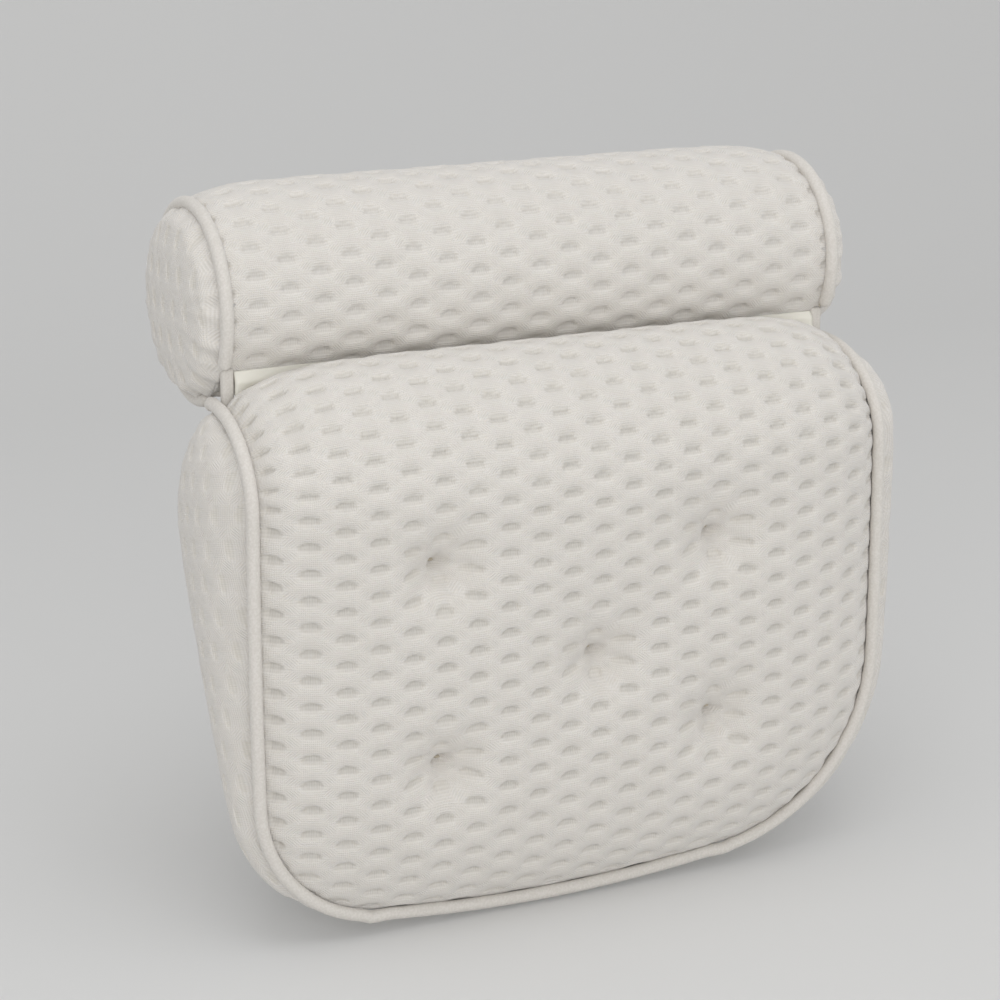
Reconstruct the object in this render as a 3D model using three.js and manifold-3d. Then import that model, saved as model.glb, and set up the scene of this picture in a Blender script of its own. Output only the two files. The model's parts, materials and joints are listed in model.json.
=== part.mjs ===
// Bath pillow in two stuffed parts: a tufted wedge pad, and a neck roll that a cloth web hinges to it.
// Millimetres. X runs to the viewer's right, Y to the back and Z up, as the pillow is photographed.
// The origin lies on the tub wall, midway between the four suction cups that hold the pad to it.
import * as THREE from "three";
import { mergeVertices } from "three/addons/utils/BufferGeometryUtils.js";
import Module from "manifold-3d";

const wasm = await Module();
wasm.setup();

// Cloth, piping and the clearances between neighbouring pieces
const FABRIC = 4;
const GAP = 0.3;
const FILL_GAP = 0.8;
const PIPING_DIAMETER = 6.4;

// Pad: a wedge that is thick at the shoulder and comes to a seam at its foot
const PAD_WIDTH = 336;
const SIDE_BOW = 2;
const CORNER_LEFT = 72;
const CORNER_RIGHT = 97;
const BOTTOM_BOW = 6;
const BOTTOM_BOW_REACH = 90;
const SHOULDER_HEIGHT = 208;
const RIDGE_HEIGHT = 249;
const RIDGE_SETBACK = 50;
const BACK_SLOPE = THREE.MathUtils.degToRad(24);
const BACK_STRAIGHT_HEIGHT = 168;
const BACK_SHOULDER_PULL = 40;
const RIDGE_FALL = THREE.MathUtils.degToRad(45);
const RIDGE_PULL = 38;
const FRONT_CROWN = 26;
const SWELL_SQUARENESS = 3.2;
const SWELL_FULLNESS = 0.7;
const SHOULDER_SQUARENESS = 12;
const BACK_CROWN = 2.5;
const BACK_MARGIN = 30;
const GUSSET_BULGE = 20;

// Tufts: where each thread draws the front panel in, as [across, height]
const TUFTS = [[-84, 179], [66, 176], [1, 123], [-82, 78], [69, 80]];
const TUFT_DIP = 9;
const TUFT_SPREAD = 13;
const THREAD_DIAMETER = 2;
const KNOT_DIAMETER = 4.4;
const THREAD_CLEARANCE = 0.6;

// Neck roll
const ROLL_LENGTH = 332;
const ROLL_RADIUS = 47.3;
const ROLL_BARREL = 5;
const CAP_BULGE = 19;
const CAP_SEAT = 5.5;
const PIPING_OPENING = THREE.MathUtils.degToRad(6);

// Cloth hinge between the two
const WEB_HEIGHT = 17;
const WEB_THICKNESS = 2.4;
const BINDING_WIDTH = 6;
const BINDING_THICKNESS = 4.4;
const BINDING_INSET = 2;

// Suction cups, pushed through eyelets in the back
const CUP_RADIUS = 24;
const CUP_LIP = 4;
const CUP_HEIGHT = 15;
const CUP_HOLLOW = 6;
const CUP_HOLLOW_FULLNESS = 0.75;
const CUP_RIM = 1.2;
const NECK_RADIUS = 6;
const STEM_RADIUS = 4;
const HEAD_RADIUS = 7.5;
const HEAD_THICKNESS = 3;
const EYELET_WALL = 1.6;
const EYELET_FLANGE = 9;
const EYELET_THICKNESS = 1.5;
const EYELET_SLACK = 1.8;
const STEM_CLEARANCE = 0.5;
const PAD_CUP_SPREAD = 236;
const PAD_CUP_LOW = 62;
const PAD_CUP_HIGH = 150;
const ROLL_CUP_SPREAD = 200;

// How finely the soft surfaces are faceted
const CORNER_ROWS = 7;
const UPPER_ROWS = 12;
const FRONT_COLUMNS = 20;
const BACK_COLUMNS = 10;
const GUSSET_COLUMNS = 6;
const ROLL_SIDES = 28;
const ROLL_RINGS = 6;
const DOME_RINGS = 3;
const PIPING_SIDES = 8;
const PIPING_STEP = 16;
const ROUND_SIDES = 18;
const HOLE_SIDES = 12;
const THREAD_SIDES = 6;
const KNOT_STEPS = 4;
const FOOT_POINTS = 4;
const FIRST_GUSSET_ROW = 2;
const FIRST_STUFFED_ROW = 3;
const LEAN_PASSES = 8;

const fabric = new THREE.MeshStandardMaterial({ color: 0xe9e7e1, roughness: 0.95, metalness: 0 });
const trim = new THREE.MeshStandardMaterial({ color: 0xe4e2dc, roughness: 0.9, metalness: 0 });
const fibre = new THREE.MeshStandardMaterial({ color: 0xf4f3ef, roughness: 1, metalness: 0 });
const thread = new THREE.MeshStandardMaterial({ color: 0xd9d6cc, roughness: 0.8, metalness: 0 });
const clearVinyl = new THREE.MeshStandardMaterial({ color: 0xdfe6e8, roughness: 0.15, metalness: 0 });
const eyeletPlastic = new THREE.MeshStandardMaterial({ color: 0xf0efec, roughness: 0.45, metalness: 0 });

const pillow = new THREE.Group();

function place(name, geometry, material) {
  const mesh = new THREE.Mesh(geometry, material);
  mesh.name = name;
  pillow.add(mesh);
  return mesh;
}

// Solids

// A closed body from points and triangles, turned so that its faces look outwards.
function body(points, triangles) {
  let volume = 0;
  for (let i = 0; i < triangles.length; i += 3) {
    const [a, b, c] = [points[triangles[i]], points[triangles[i + 1]], points[triangles[i + 2]]];
    volume += a.dot(b.clone().cross(c));
  }
  if (volume < 0) {
    triangles.reverse();
  }
  const geometry = new THREE.BufferGeometry().setFromPoints(points);
  geometry.setIndex(triangles);
  return geometry;
}

// The body between two grids of points of the same size, closed along their four rims.
function between(outer, inner) {
  const lastRow = outer.length - 1;
  const lastColumn = outer[0].length - 1;
  const triangles = [];
  const outside = (row, column) => row * (lastColumn + 1) + column;
  const inside = (row, column) => outside(row, column) + (lastRow + 1) * (lastColumn + 1);
  const quad = (a, b, c, d) => triangles.push(a, b, c, a, c, d);
  for (let row = 0; row < lastRow; row++) {
    for (let column = 0; column < lastColumn; column++) {
      const [up, over] = [row + 1, column + 1];
      quad(outside(row, column), outside(row, over), outside(up, over), outside(up, column));
      quad(inside(row, column), inside(up, column), inside(up, over), inside(row, over));
    }
    const [up, end] = [row + 1, lastColumn];
    quad(outside(row, 0), outside(up, 0), inside(up, 0), inside(row, 0));
    quad(inside(row, end), inside(up, end), outside(up, end), outside(row, end));
  }
  for (let column = 0; column < lastColumn; column++) {
    const [over, end] = [column + 1, lastRow];
    quad(inside(0, column), inside(0, over), outside(0, over), outside(0, column));
    quad(outside(end, column), outside(end, over), inside(end, over), inside(end, column));
  }
  return body([...outer.flat(), ...inner.flat()], triangles);
}

// The body that a series of closed rings encloses, with a fan over each end.
function loft(rings) {
  const sides = rings[0].length;
  const points = rings.flat();
  const triangles = [];
  const middle = (ring) => ring.reduce((sum, p) => sum.add(p), new THREE.Vector3()).divideScalar(sides);
  const first = points.push(middle(rings[0])) - 1;
  const last = points.push(middle(rings[rings.length - 1])) - 1;
  const top = (rings.length - 1) * sides;
  for (let side = 0; side < sides; side++) {
    const next = (side + 1) % sides;
    triangles.push(first, next, side);
    triangles.push(last, top + side, top + next);
    for (let ring = 0; ring < rings.length - 1; ring++) {
      const [low, high] = [ring * sides, (ring + 1) * sides];
      triangles.push(low + side, low + next, high + next, low + side, high + next, high + side);
    }
  }
  return body(points, triangles);
}

function toSolid(geometry) {
  const bare = geometry.clone();
  bare.deleteAttribute("normal");
  bare.deleteAttribute("uv");
  const merged = mergeVertices(bare);
  const vertProperties = new Float32Array(merged.attributes.position.array);
  const triVerts = new Uint32Array(merged.index.array);
  return new wasm.Manifold(new wasm.Mesh({ numProp: 3, vertProperties, triVerts }));
}

function cut(geometry, tools) {
  const result = tools.reduce((solid, tool) => solid.subtract(toSolid(tool)), toSolid(geometry)).getMesh();
  const carved = new THREE.BufferGeometry();
  carved.setAttribute("position", new THREE.BufferAttribute(result.vertProperties, 3));
  carved.setIndex(new THREE.BufferAttribute(result.triVerts, 1));
  return carved;
}

// A round cord along a curve.
function cord(curve, diameter) {
  const corners = Array.from({ length: PIPING_SIDES }, (_, side) => {
    const angle = (side / PIPING_SIDES) * 2 * Math.PI;
    return new THREE.Vector2(Math.cos(angle), Math.sin(angle)).multiplyScalar(diameter / 2);
  });
  const steps = Math.ceil(curve.getLength() / PIPING_STEP);
  const options = { steps, extrudePath: curve, bevelEnabled: false };
  return new THREE.ExtrudeGeometry(new THREE.Shape(corners), options);
}

// A rod drilled along an axis, used as a cutter.
function drill(radius, from, to, sides) {
  const axis = to.clone().sub(from);
  const geometry = new THREE.CylinderGeometry(radius, radius, axis.length(), sides);
  const upright = new THREE.Vector3(0, 1, 0);
  geometry.applyQuaternion(new THREE.Quaternion().setFromUnitVectors(upright, axis.normalize()));
  const centre = from.clone().add(to).divideScalar(2);
  return geometry.translate(centre.x, centre.y, centre.z);
}

// Pad panels

const halfWeb = WEB_THICKNESS / 2;
const frontRidge = RIDGE_SETBACK - halfWeb - GAP;
const backRidge = RIDGE_SETBACK + halfWeb + GAP + FABRIC * Math.sin(RIDGE_FALL);
const foot = 2 * (FABRIC + GAP);
const upTheBack = new THREE.Vector2(Math.sin(BACK_SLOPE), Math.cos(BACK_SLOPE));
const outOfTheBack = new THREE.Vector3(0, Math.cos(BACK_SLOPE), -Math.sin(BACK_SLOPE));

// Side profiles, as (depth, height): up the front and over the shoulder to the ridge, and up the back.
const frontProfile = new THREE.Path().moveTo(0, 0).lineTo(0, SHOULDER_HEIGHT);
const shoulderRise = RIDGE_HEIGHT - SHOULDER_HEIGHT;
frontProfile.absellipse(frontRidge, SHOULDER_HEIGHT, frontRidge, shoulderRise, Math.PI, Math.PI / 2, true);

const backBendDepth = foot + BACK_STRAIGHT_HEIGHT * Math.tan(BACK_SLOPE);
const backBend = new THREE.Vector2(backBendDepth, BACK_STRAIGHT_HEIGHT);
const backLead = upTheBack.clone().multiplyScalar(BACK_SHOULDER_PULL).add(backBend);
const ridgeLead = new THREE.Vector2(Math.cos(RIDGE_FALL), -Math.sin(RIDGE_FALL)).multiplyScalar(RIDGE_PULL);
ridgeLead.add(new THREE.Vector2(backRidge, RIDGE_HEIGHT));
const backProfile = new THREE.Path().moveTo(foot, 0).lineTo(backBend.x, backBend.y);
backProfile.bezierCurveTo(backLead.x, backLead.y, ridgeLead.x, ridgeLead.y, backRidge, RIDGE_HEIGHT);

// The rounded bottom corners draw a panel's ends in over this distance up from its foot.
const cornerReach = Math.max(CORNER_LEFT, CORNER_RIGHT);

function cornerRadius(side) {
  return side < 0 ? CORNER_LEFT : CORNER_RIGHT;
}

function edgeAcross(side, distance, length) {
  const radius = cornerRadius(side);
  const below = Math.max(radius - distance, 0);
  const drawnIn = radius - Math.sqrt(radius ** 2 - below ** 2);
  return side * (PAD_WIDTH / 2 - drawnIn + SIDE_BOW * Math.sin((Math.PI * distance) / length));
}

// Which way the side seam faces, seen from the front, at a distance up from the foot.
function edgeOutward(side, distance) {
  const radius = cornerRadius(side);
  const down = Math.max(radius - distance, 0) / radius;
  return new THREE.Vector3(side * Math.sqrt(1 - down ** 2), 0, -down);
}

// The front swells to a plateau, drops steeply into the hinge seam and dips where it is tufted.
function frontRelief(across, distance, share, length) {
  const swell = (reach) => (1 - Math.abs(reach) ** SWELL_SQUARENESS) ** SWELL_FULLNESS;
  const along = (2 * distance) / length - 1;
  const alongSwell = along < 0 ? swell(along) : Math.sqrt(1 - along ** SHOULDER_SQUARENESS);
  let relief = FRONT_CROWN * swell(share) * alongSwell;
  for (const [tuftAcross, tuftHeight] of TUFTS) {
    const reach = Math.hypot(across - tuftAcross, distance - tuftHeight) / TUFT_SPREAD;
    relief -= TUFT_DIP * Math.exp(-(reach ** 2) / 2);
  }
  return Math.max(relief, 0);
}

// The back is flat where the cups sit, with a rounded margin.
function backRelief(across, distance, share, length, halfWidth) {
  const rise = (inset) => THREE.MathUtils.smoothstep(inset, 0, BACK_MARGIN);
  const sideInset = (1 - Math.abs(share)) * halfWidth;
  return BACK_CROWN * rise(sideInset) * rise(distance) * rise(length - distance);
}

function panelOn(profile, facing, relief) {
  return { profile, length: profile.getLength(), facing, relief };
}

const frontPanel = panelOn(frontProfile, 1, frontRelief);
const backPanel = panelOn(backProfile, -1, backRelief);

// A point of a panel: share runs from -1 at the left seam to 1 at the right, depth is below the outer face.
function panelPoint(panel, share, distance, depth) {
  const along = Math.min(distance / panel.length, 1);
  const base = panel.profile.getPointAt(along);
  const upwards = panel.profile.getTangentAt(along);
  const outwards = new THREE.Vector2(-upwards.y, upwards.x).multiplyScalar(panel.facing);
  const left = edgeAcross(-1, distance, panel.length);
  const right = edgeAcross(1, distance, panel.length);
  const across = THREE.MathUtils.lerp(left, right, (share + 1) / 2);
  const lift = panel.relief(across, distance, share, panel.length, (right - left) / 2) - depth;
  const bow = BOTTOM_BOW * (1 - share ** 2) * Math.max(1 - distance / BOTTOM_BOW_REACH, 0) ** 2;
  return new THREE.Vector3(across, base.x + outwards.x * lift, base.y + outwards.y * lift - bow);
}

const rowCount = CORNER_ROWS + UPPER_ROWS;

// Rows lie close together round the corners and evenly above them.
function rowDistance(panel, row) {
  if (row <= CORNER_ROWS) {
    return cornerReach * (1 - Math.cos(((row / CORNER_ROWS) * Math.PI) / 2));
  }
  return cornerReach + ((panel.length - cornerReach) * (row - CORNER_ROWS)) / UPPER_ROWS;
}

function panelGrid(panel, columns, depth, firstRow, lastRow) {
  const grid = [];
  for (let row = firstRow; row <= lastRow; row++) {
    const distance = rowDistance(panel, row);
    const point = (_, column) => panelPoint(panel, (2 * column) / columns - 1, distance, depth);
    grid.push(Array.from({ length: columns + 1 }, point));
  }
  return grid;
}

function panelShell(panel, columns) {
  const outer = panelGrid(panel, columns, 0, 0, rowCount);
  const inner = panelGrid(panel, columns, FABRIC, 0, rowCount);
  return between(outer, inner);
}

// The stuffing stops short of the gussets: each row's end points lie deeper and slide in along the row.
// Its last row narrows to an edge under the ridge.
function stuffingGrid(panel) {
  const layer = (gaps) => {
    const depth = FABRIC + gaps * FILL_GAP;
    return panelGrid(panel, FRONT_COLUMNS, depth, FIRST_STUFFED_ROW, rowCount);
  };
  const deeper = layer(3);
  const grid = layer(1).map((row, index) => {
    const distance = rowDistance(panel, FIRST_STUFFED_ROW + index);
    const slide = (side, end, neighbour) => {
      const inset = (FABRIC + 2 * FILL_GAP) / Math.abs(edgeOutward(side, distance).x);
      return end.lerp(neighbour, inset / end.distanceTo(neighbour));
    };
    const left = slide(-1, deeper[index][0], deeper[index][1]);
    const right = slide(1, deeper[index][FRONT_COLUMNS], deeper[index][FRONT_COLUMNS - 1]);
    return [left, ...row.slice(1, FRONT_COLUMNS), right];
  });
  for (const point of grid[grid.length - 1]) {
    point.y = RIDGE_SETBACK - panel.facing * (halfWeb + GAP + FILL_GAP);
    point.z = RIDGE_HEIGHT - FABRIC - 2 * FILL_GAP;
  }
  return grid;
}

// A gusset is the swelling side strip between the front and back panels.
function gusset(side) {
  const rows = [];
  for (let row = FIRST_GUSSET_ROW; row <= rowCount; row++) {
    const frontDistance = rowDistance(frontPanel, row);
    const from = panelPoint(frontPanel, side, frontDistance, FABRIC + GAP);
    const to = panelPoint(backPanel, side, rowDistance(backPanel, row), FABRIC + GAP);
    rows.push({ from, to, outward: edgeOutward(side, frontDistance), depth: from.distanceTo(to) });
  }
  const deepest = Math.max(...rows.map((row) => row.depth));
  const strip = ({ from, to, outward, depth }, inset) => {
    return Array.from({ length: GUSSET_COLUMNS + 1 }, (_, column) => {
      const share = column / GUSSET_COLUMNS;
      const bulge = GUSSET_BULGE * (depth / deepest) * 4 * share * (1 - share) - inset;
      return from.clone().lerp(to, share).addScaledVector(outward, bulge);
    });
  };
  const grid = (inset) => rows.map((row) => strip(row, inset));
  return between(grid(0), grid(FABRIC));
}

// Piping stands on the seam between the front panel and the gussets, and along the foot.
const pipingStandoff = PIPING_DIAMETER / 2 + 2 * GAP;

function seamPoint(share, distance, outward) {
  const edge = panelPoint(frontPanel, share, distance, 0);
  const beyond = panelPoint(frontPanel, share, distance, -1).sub(edge).add(outward).normalize();
  return edge.addScaledVector(beyond, pipingStandoff);
}

function padPiping() {
  const side = (sign) => Array.from({ length: rowCount + 1 }, (_, row) => {
    const distance = rowDistance(frontPanel, row);
    return seamPoint(sign, distance, edgeOutward(sign, distance));
  });
  const down = new THREE.Vector3(0, 0, -1);
  const bottom = Array.from({ length: FOOT_POINTS }, (_, index) => {
    return seamPoint((2 * (index + 1)) / (FOOT_POINTS + 1) - 1, 0, down);
  });
  const route = [...side(-1).reverse(), ...bottom, ...side(1)];
  return cord(new THREE.CatmullRomCurve3(route), PIPING_DIAMETER);
}

const frontShell = panelShell(frontPanel, FRONT_COLUMNS);

// Tuft threads run straight back from the front dip to a knot behind the back panel.
const knotRadius = KNOT_DIAMETER / 2;
const threadRadius = THREAD_DIAMETER / 2;

function shareAt(panel, across, distance) {
  const left = edgeAcross(-1, distance, panel.length);
  const right = edgeAcross(1, distance, panel.length);
  return (2 * (across - left)) / (right - left) - 1;
}

function backDepthAt(height) {
  return foot + height * Math.tan(BACK_SLOPE) + BACK_CROWN / Math.cos(BACK_SLOPE);
}

// Where a straight line back, at this place across and up, first meets the front panel.
function frontFaceAt(across, height) {
  const ahead = new THREE.Vector3(across, -PAD_WIDTH, height);
  const ray = new THREE.Raycaster(ahead, new THREE.Vector3(0, 1, 0));
  return ray.intersectObject(new THREE.Mesh(frontShell, fabric))[0].point;
}

const tufts = TUFTS.map(([across, height]) => {
  const front = frontFaceAt(across, height);
  const frontKnot = front.clone().setY(front.y - knotRadius - THREAD_CLEARANCE);
  const behind = backDepthAt(height) + (knotRadius + THREAD_CLEARANCE) / Math.cos(BACK_SLOPE);
  return { frontKnot, backKnot: front.clone().setY(behind) };
});

const threadHoles = tufts.map(({ frontKnot, backKnot }) => {
  return drill(threadRadius + THREAD_CLEARANCE, frontKnot, backKnot, THREAD_SIDES);
});

function tuftTie({ frontKnot, backKnot }) {
  const span = frontKnot.distanceTo(backKnot);
  const knot = Array.from({ length: KNOT_STEPS }, (_, step) => {
    const angle = (step / KNOT_STEPS) * Math.PI;
    return new THREE.Vector2(Math.sin(angle), -Math.cos(angle)).multiplyScalar(knotRadius);
  });
  const waist = Math.sqrt(knotRadius ** 2 - threadRadius ** 2);
  const half = [...knot, new THREE.Vector2(threadRadius, waist)];
  const mirrored = half.map((p) => new THREE.Vector2(p.x, span - p.y)).reverse();
  const geometry = new THREE.LatheGeometry([...half, ...mirrored], THREAD_SIDES);
  return geometry.translate(frontKnot.x, frontKnot.y, 0).translate(0, 0, frontKnot.z);
}

// Neck roll: it stands on the web over the ridge, with its back in the plane of the pad's back.

const halfRoll = ROLL_LENGTH / 2;
const backAngle = -BACK_SLOPE;
const backPlane = backDepthAt(RIDGE_HEIGHT + WEB_HEIGHT);

// The barrel swells away from the hinge seam, where the web holds the cover straight.
function rollRadius(angle, across, seam) {
  const swell = (1 - Math.cos(angle - seam)) / 2;
  return ROLL_RADIUS + ROLL_BARREL * (1 - (across / halfRoll) ** 2) * swell;
}

// The lean of the roll's centre from its hinge seam that brings its back to the pad's back plane.
function rollLean() {
  const reach = (backPlane - RIDGE_SETBACK) * Math.cos(BACK_SLOPE);
  let lean = BACK_SLOPE;
  for (let pass = 0; pass < LEAN_PASSES; pass++) {
    const backRadius = rollRadius(backAngle, ROLL_CUP_SPREAD / 2, Math.PI + lean);
    lean = Math.acos((reach - backRadius) / ROLL_RADIUS) - BACK_SLOPE;
  }
  return lean;
}

const lean = rollLean();
const seamAngle = Math.PI + lean;
const rollDepth = RIDGE_SETBACK + ROLL_RADIUS * Math.cos(lean);
const rollHeight = RIDGE_HEIGHT + WEB_HEIGHT + ROLL_RADIUS * Math.sin(lean);

function rollPoint(across, angle, radius) {
  const depth = rollDepth + radius * Math.cos(angle);
  const height = rollHeight + radius * Math.sin(angle);
  return new THREE.Vector3(across, depth, height);
}

function rollRing(across, radiusAt) {
  return Array.from({ length: ROLL_SIDES }, (_, side) => {
    const angle = seamAngle + (side / ROLL_SIDES) * 2 * Math.PI;
    return rollPoint(across, angle, radiusAt(angle));
  });
}

function rollBarrel(inset, halfLength) {
  return Array.from({ length: ROLL_RINGS + 1 }, (_, ring) => {
    const across = halfLength * ((2 * ring) / ROLL_RINGS - 1);
    return rollRing(across, (angle) => rollRadius(angle, across, seamAngle) - inset);
  });
}

// Height of a shallow dome over its rim plane, at a distance from its axis.
function domeHeight(distance, rim, bulge) {
  const sphere = (rim ** 2 + bulge ** 2) / (2 * bulge);
  return Math.sqrt(sphere ** 2 - distance ** 2) - (sphere - bulge);
}

function domeArc(rim, bulge) {
  return Array.from({ length: DOME_RINGS + 1 }, (_, ring) => {
    const distance = (rim * ring) / DOME_RINGS;
    return new THREE.Vector2(distance, domeHeight(distance, rim, bulge));
  });
}

function rollCap(side) {
  const outer = domeArc(ROLL_RADIUS, CAP_BULGE);
  const inner = domeArc(ROLL_RADIUS - CAP_SEAT, CAP_BULGE - FABRIC);
  const geometry = new THREE.LatheGeometry([...inner, ...outer.reverse()], ROLL_SIDES);
  geometry.rotateZ((-side * Math.PI) / 2).rotateX(seamAngle);
  return geometry.translate(side * (halfRoll + GAP), rollDepth, rollHeight);
}

function rollFilling() {
  const rim = ROLL_RADIUS - CAP_SEAT - FILL_GAP;
  const dome = domeArc(rim, CAP_BULGE - FABRIC - FILL_GAP).slice(1);
  const end = (side) => dome.map((p) => rollRing(side * (halfRoll + GAP + p.y), () => p.x));
  const barrel = rollBarrel(FABRIC + FILL_GAP, halfRoll - FILL_GAP);
  return loft([...end(-1), ...barrel, ...end(1).reverse()]);
}

// The cap's piping lies over the seam between cover and cap, and is open where the web is sewn in.
function rollPiping(side) {
  const capTilt = 2 * Math.atan(CAP_BULGE / ROLL_RADIUS);
  const lie = new THREE.Vector2(Math.sin(capTilt / 2), Math.cos(capTilt / 2));
  const standoff = (PIPING_DIAMETER / 2 + 2 * GAP) / Math.cos(capTilt / 2);
  const across = side * (halfRoll + lie.x * standoff);
  const span = 2 * (Math.PI - PIPING_OPENING);
  const route = Array.from({ length: ROLL_SIDES + 1 }, (_, step) => {
    const angle = seamAngle + PIPING_OPENING + (span * step) / ROLL_SIDES;
    return rollPoint(across, angle, ROLL_RADIUS + lie.y * standoff);
  });
  return cord(new THREE.CatmullRomCurve3(route), PIPING_DIAMETER);
}

// Web and bindings rise from the ridge to the underside of the roll, where they are cut to its slope.
function hingeStrip(from, to, thickness, low) {
  const half = thickness / 2;
  const top = (depth) => {
    const offset = rollDepth - depth;
    return rollHeight - Math.sqrt((ROLL_RADIUS + GAP) ** 2 - offset ** 2) - GAP;
  };
  const front = RIDGE_SETBACK - half;
  const back = RIDGE_SETBACK + half;
  const section = new THREE.Shape().moveTo(front, low).lineTo(back, low);
  section.lineTo(back, top(back)).lineTo(front, top(front)).closePath();
  const geometry = new THREE.ExtrudeGeometry(section, { depth: to - from, bevelEnabled: false });
  const axes = new THREE.Matrix4().makeBasis(
    new THREE.Vector3(0, 1, 0),
    new THREE.Vector3(0, 0, 1),
    new THREE.Vector3(1, 0, 0),
  );
  return geometry.applyMatrix4(axes).translate(from, 0, 0);
}

// Suction cups and eyelets, drawn about +Z with the cloth's outer face at zero

const eyeletBore = STEM_RADIUS + STEM_CLEARANCE;
const eyeletBarrel = eyeletBore + EYELET_WALL;
const underCloth = -FABRIC - EYELET_SLACK;
const innerFlange = underCloth - EYELET_THICKNESS;
const outerFlange = GAP + EYELET_THICKNESS;
const headTop = innerFlange - GAP;
const headBase = headTop - HEAD_THICKNESS;
const pocketFloor = headBase - FILL_GAP;

function turned(profile) {
  const points = profile.map(([radius, height]) => new THREE.Vector2(radius, height));
  return new THREE.LatheGeometry(points, ROUND_SIDES).rotateX(Math.PI / 2);
}

function eyelet() {
  return turned([
    [eyeletBore, innerFlange],
    [EYELET_FLANGE, innerFlange],
    [EYELET_FLANGE, underCloth],
    [eyeletBarrel, underCloth],
    [eyeletBarrel, GAP],
    [EYELET_FLANGE, GAP],
    [EYELET_FLANGE, outerFlange],
    [eyeletBore, outerFlange],
    [eyeletBore, innerFlange],
  ]);
}

function suctionCup() {
  const shoulder = outerFlange + GAP;
  return turned([
    [0, headBase],
    [HEAD_RADIUS, headBase],
    [HEAD_RADIUS, headTop],
    [STEM_RADIUS, headTop],
    [STEM_RADIUS, shoulder],
    [NECK_RADIUS, shoulder],
    [CUP_RADIUS, CUP_HEIGHT - CUP_RIM],
    [CUP_RADIUS, CUP_HEIGHT],
    [CUP_RADIUS - CUP_LIP, CUP_HEIGHT],
    [CUP_RADIUS / 2, CUP_HEIGHT - CUP_HOLLOW_FULLNESS * CUP_HOLLOW],
    [0, CUP_HEIGHT - CUP_HOLLOW],
  ]);
}

function padSeat(across, distance) {
  return panelPoint(backPanel, shareAt(backPanel, across, distance), distance, 0);
}

function rollSeat(across) {
  return rollPoint(across, backAngle, rollRadius(backAngle, across, seamAngle));
}

const padSeats = {
  pad_lower_left: padSeat(-PAD_CUP_SPREAD / 2, PAD_CUP_LOW),
  pad_lower_right: padSeat(PAD_CUP_SPREAD / 2, PAD_CUP_LOW),
  pad_upper_left: padSeat(-PAD_CUP_SPREAD / 2, PAD_CUP_HIGH),
  pad_upper_right: padSeat(PAD_CUP_SPREAD / 2, PAD_CUP_HIGH),
};
const rollSeats = {
  roll_left: rollSeat(-ROLL_CUP_SPREAD / 2),
  roll_right: rollSeat(ROLL_CUP_SPREAD / 2),
};

function boreAt(seat, radius, low, high) {
  const along = (height) => seat.clone().addScaledVector(outOfTheBack, height);
  return drill(radius, along(low), along(high), HOLE_SIDES);
}

function eyeletHoles(seats) {
  const radius = eyeletBarrel + 2 * GAP;
  return Object.values(seats).map((seat) => boreAt(seat, radius, pocketFloor, CUP_HEIGHT));
}

function headPockets(seats) {
  const radius = EYELET_FLANGE + FILL_GAP;
  return Object.values(seats).map((seat) => boreAt(seat, radius, pocketFloor, CUP_HEIGHT));
}

// Assembly

place("pad_front_panel", cut(frontShell, threadHoles), fabric);
const backHoles = [...threadHoles, ...eyeletHoles(padSeats)];
place("pad_back_panel", cut(panelShell(backPanel, BACK_COLUMNS), backHoles), fabric);
place("pad_left_gusset", gusset(-1), fabric);
place("pad_right_gusset", gusset(1), fabric);
place("pad_piping", padPiping(), trim);
const stuffing = between(stuffingGrid(frontPanel), stuffingGrid(backPanel));
place("pad_filling", cut(stuffing, [...threadHoles, ...headPockets(padSeats)]), fibre);
tufts.forEach((tuft, index) => place(`tuft_tie_${index + 1}`, tuftTie(tuft), thread));

const hollow = loft(rollBarrel(FABRIC, halfRoll + FABRIC));
place("roll_cover", cut(loft(rollBarrel(0, halfRoll)), [hollow, ...eyeletHoles(rollSeats)]), fabric);
place("roll_left_cap", rollCap(-1), fabric);
place("roll_right_cap", rollCap(1), fabric);
place("roll_left_piping", rollPiping(-1), trim);
place("roll_right_piping", rollPiping(1), trim);
place("roll_filling", cut(rollFilling(), headPockets(rollSeats)), fibre);

const bindingOuter = halfRoll - BINDING_INSET;
const bindingInner = bindingOuter - BINDING_WIDTH;
const webEnd = bindingInner - GAP;
const onTheRidge = RIDGE_HEIGHT + GAP;
place("hinge_web", hingeStrip(-webEnd, webEnd, WEB_THICKNESS, RIDGE_HEIGHT - FABRIC), fabric);
place("hinge_binding_left", hingeStrip(-bindingOuter, -bindingInner, BINDING_THICKNESS, onTheRidge), trim);
place("hinge_binding_right", hingeStrip(bindingInner, bindingOuter, BINDING_THICKNESS, onTheRidge), trim);

for (const [where, seat] of Object.entries({ ...padSeats, ...rollSeats })) {
  const turn = new THREE.Quaternion().setFromUnitVectors(new THREE.Vector3(0, 0, 1), outOfTheBack);
  for (const mesh of [
    place(`eyelet_${where}`, eyelet(), eyeletPlastic),
    place(`suction_cup_${where}`, suctionCup(), clearVinyl),
  ]) {
    mesh.position.copy(seat);
    mesh.quaternion.copy(turn);
  }
}

// The tub wall meets the cups' lips: the origin is on it, in the middle of the pad's cups.
const wallCentre = padSeat(0, (PAD_CUP_LOW + PAD_CUP_HIGH) / 2).addScaledVector(outOfTheBack, CUP_HEIGHT);
pillow.position.copy(wallCentre).negate();

export default pillow;
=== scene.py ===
import json
import math

import bmesh
import bpy
import numpy as np
from mathutils import Matrix, Vector, kdtree, noise

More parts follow.
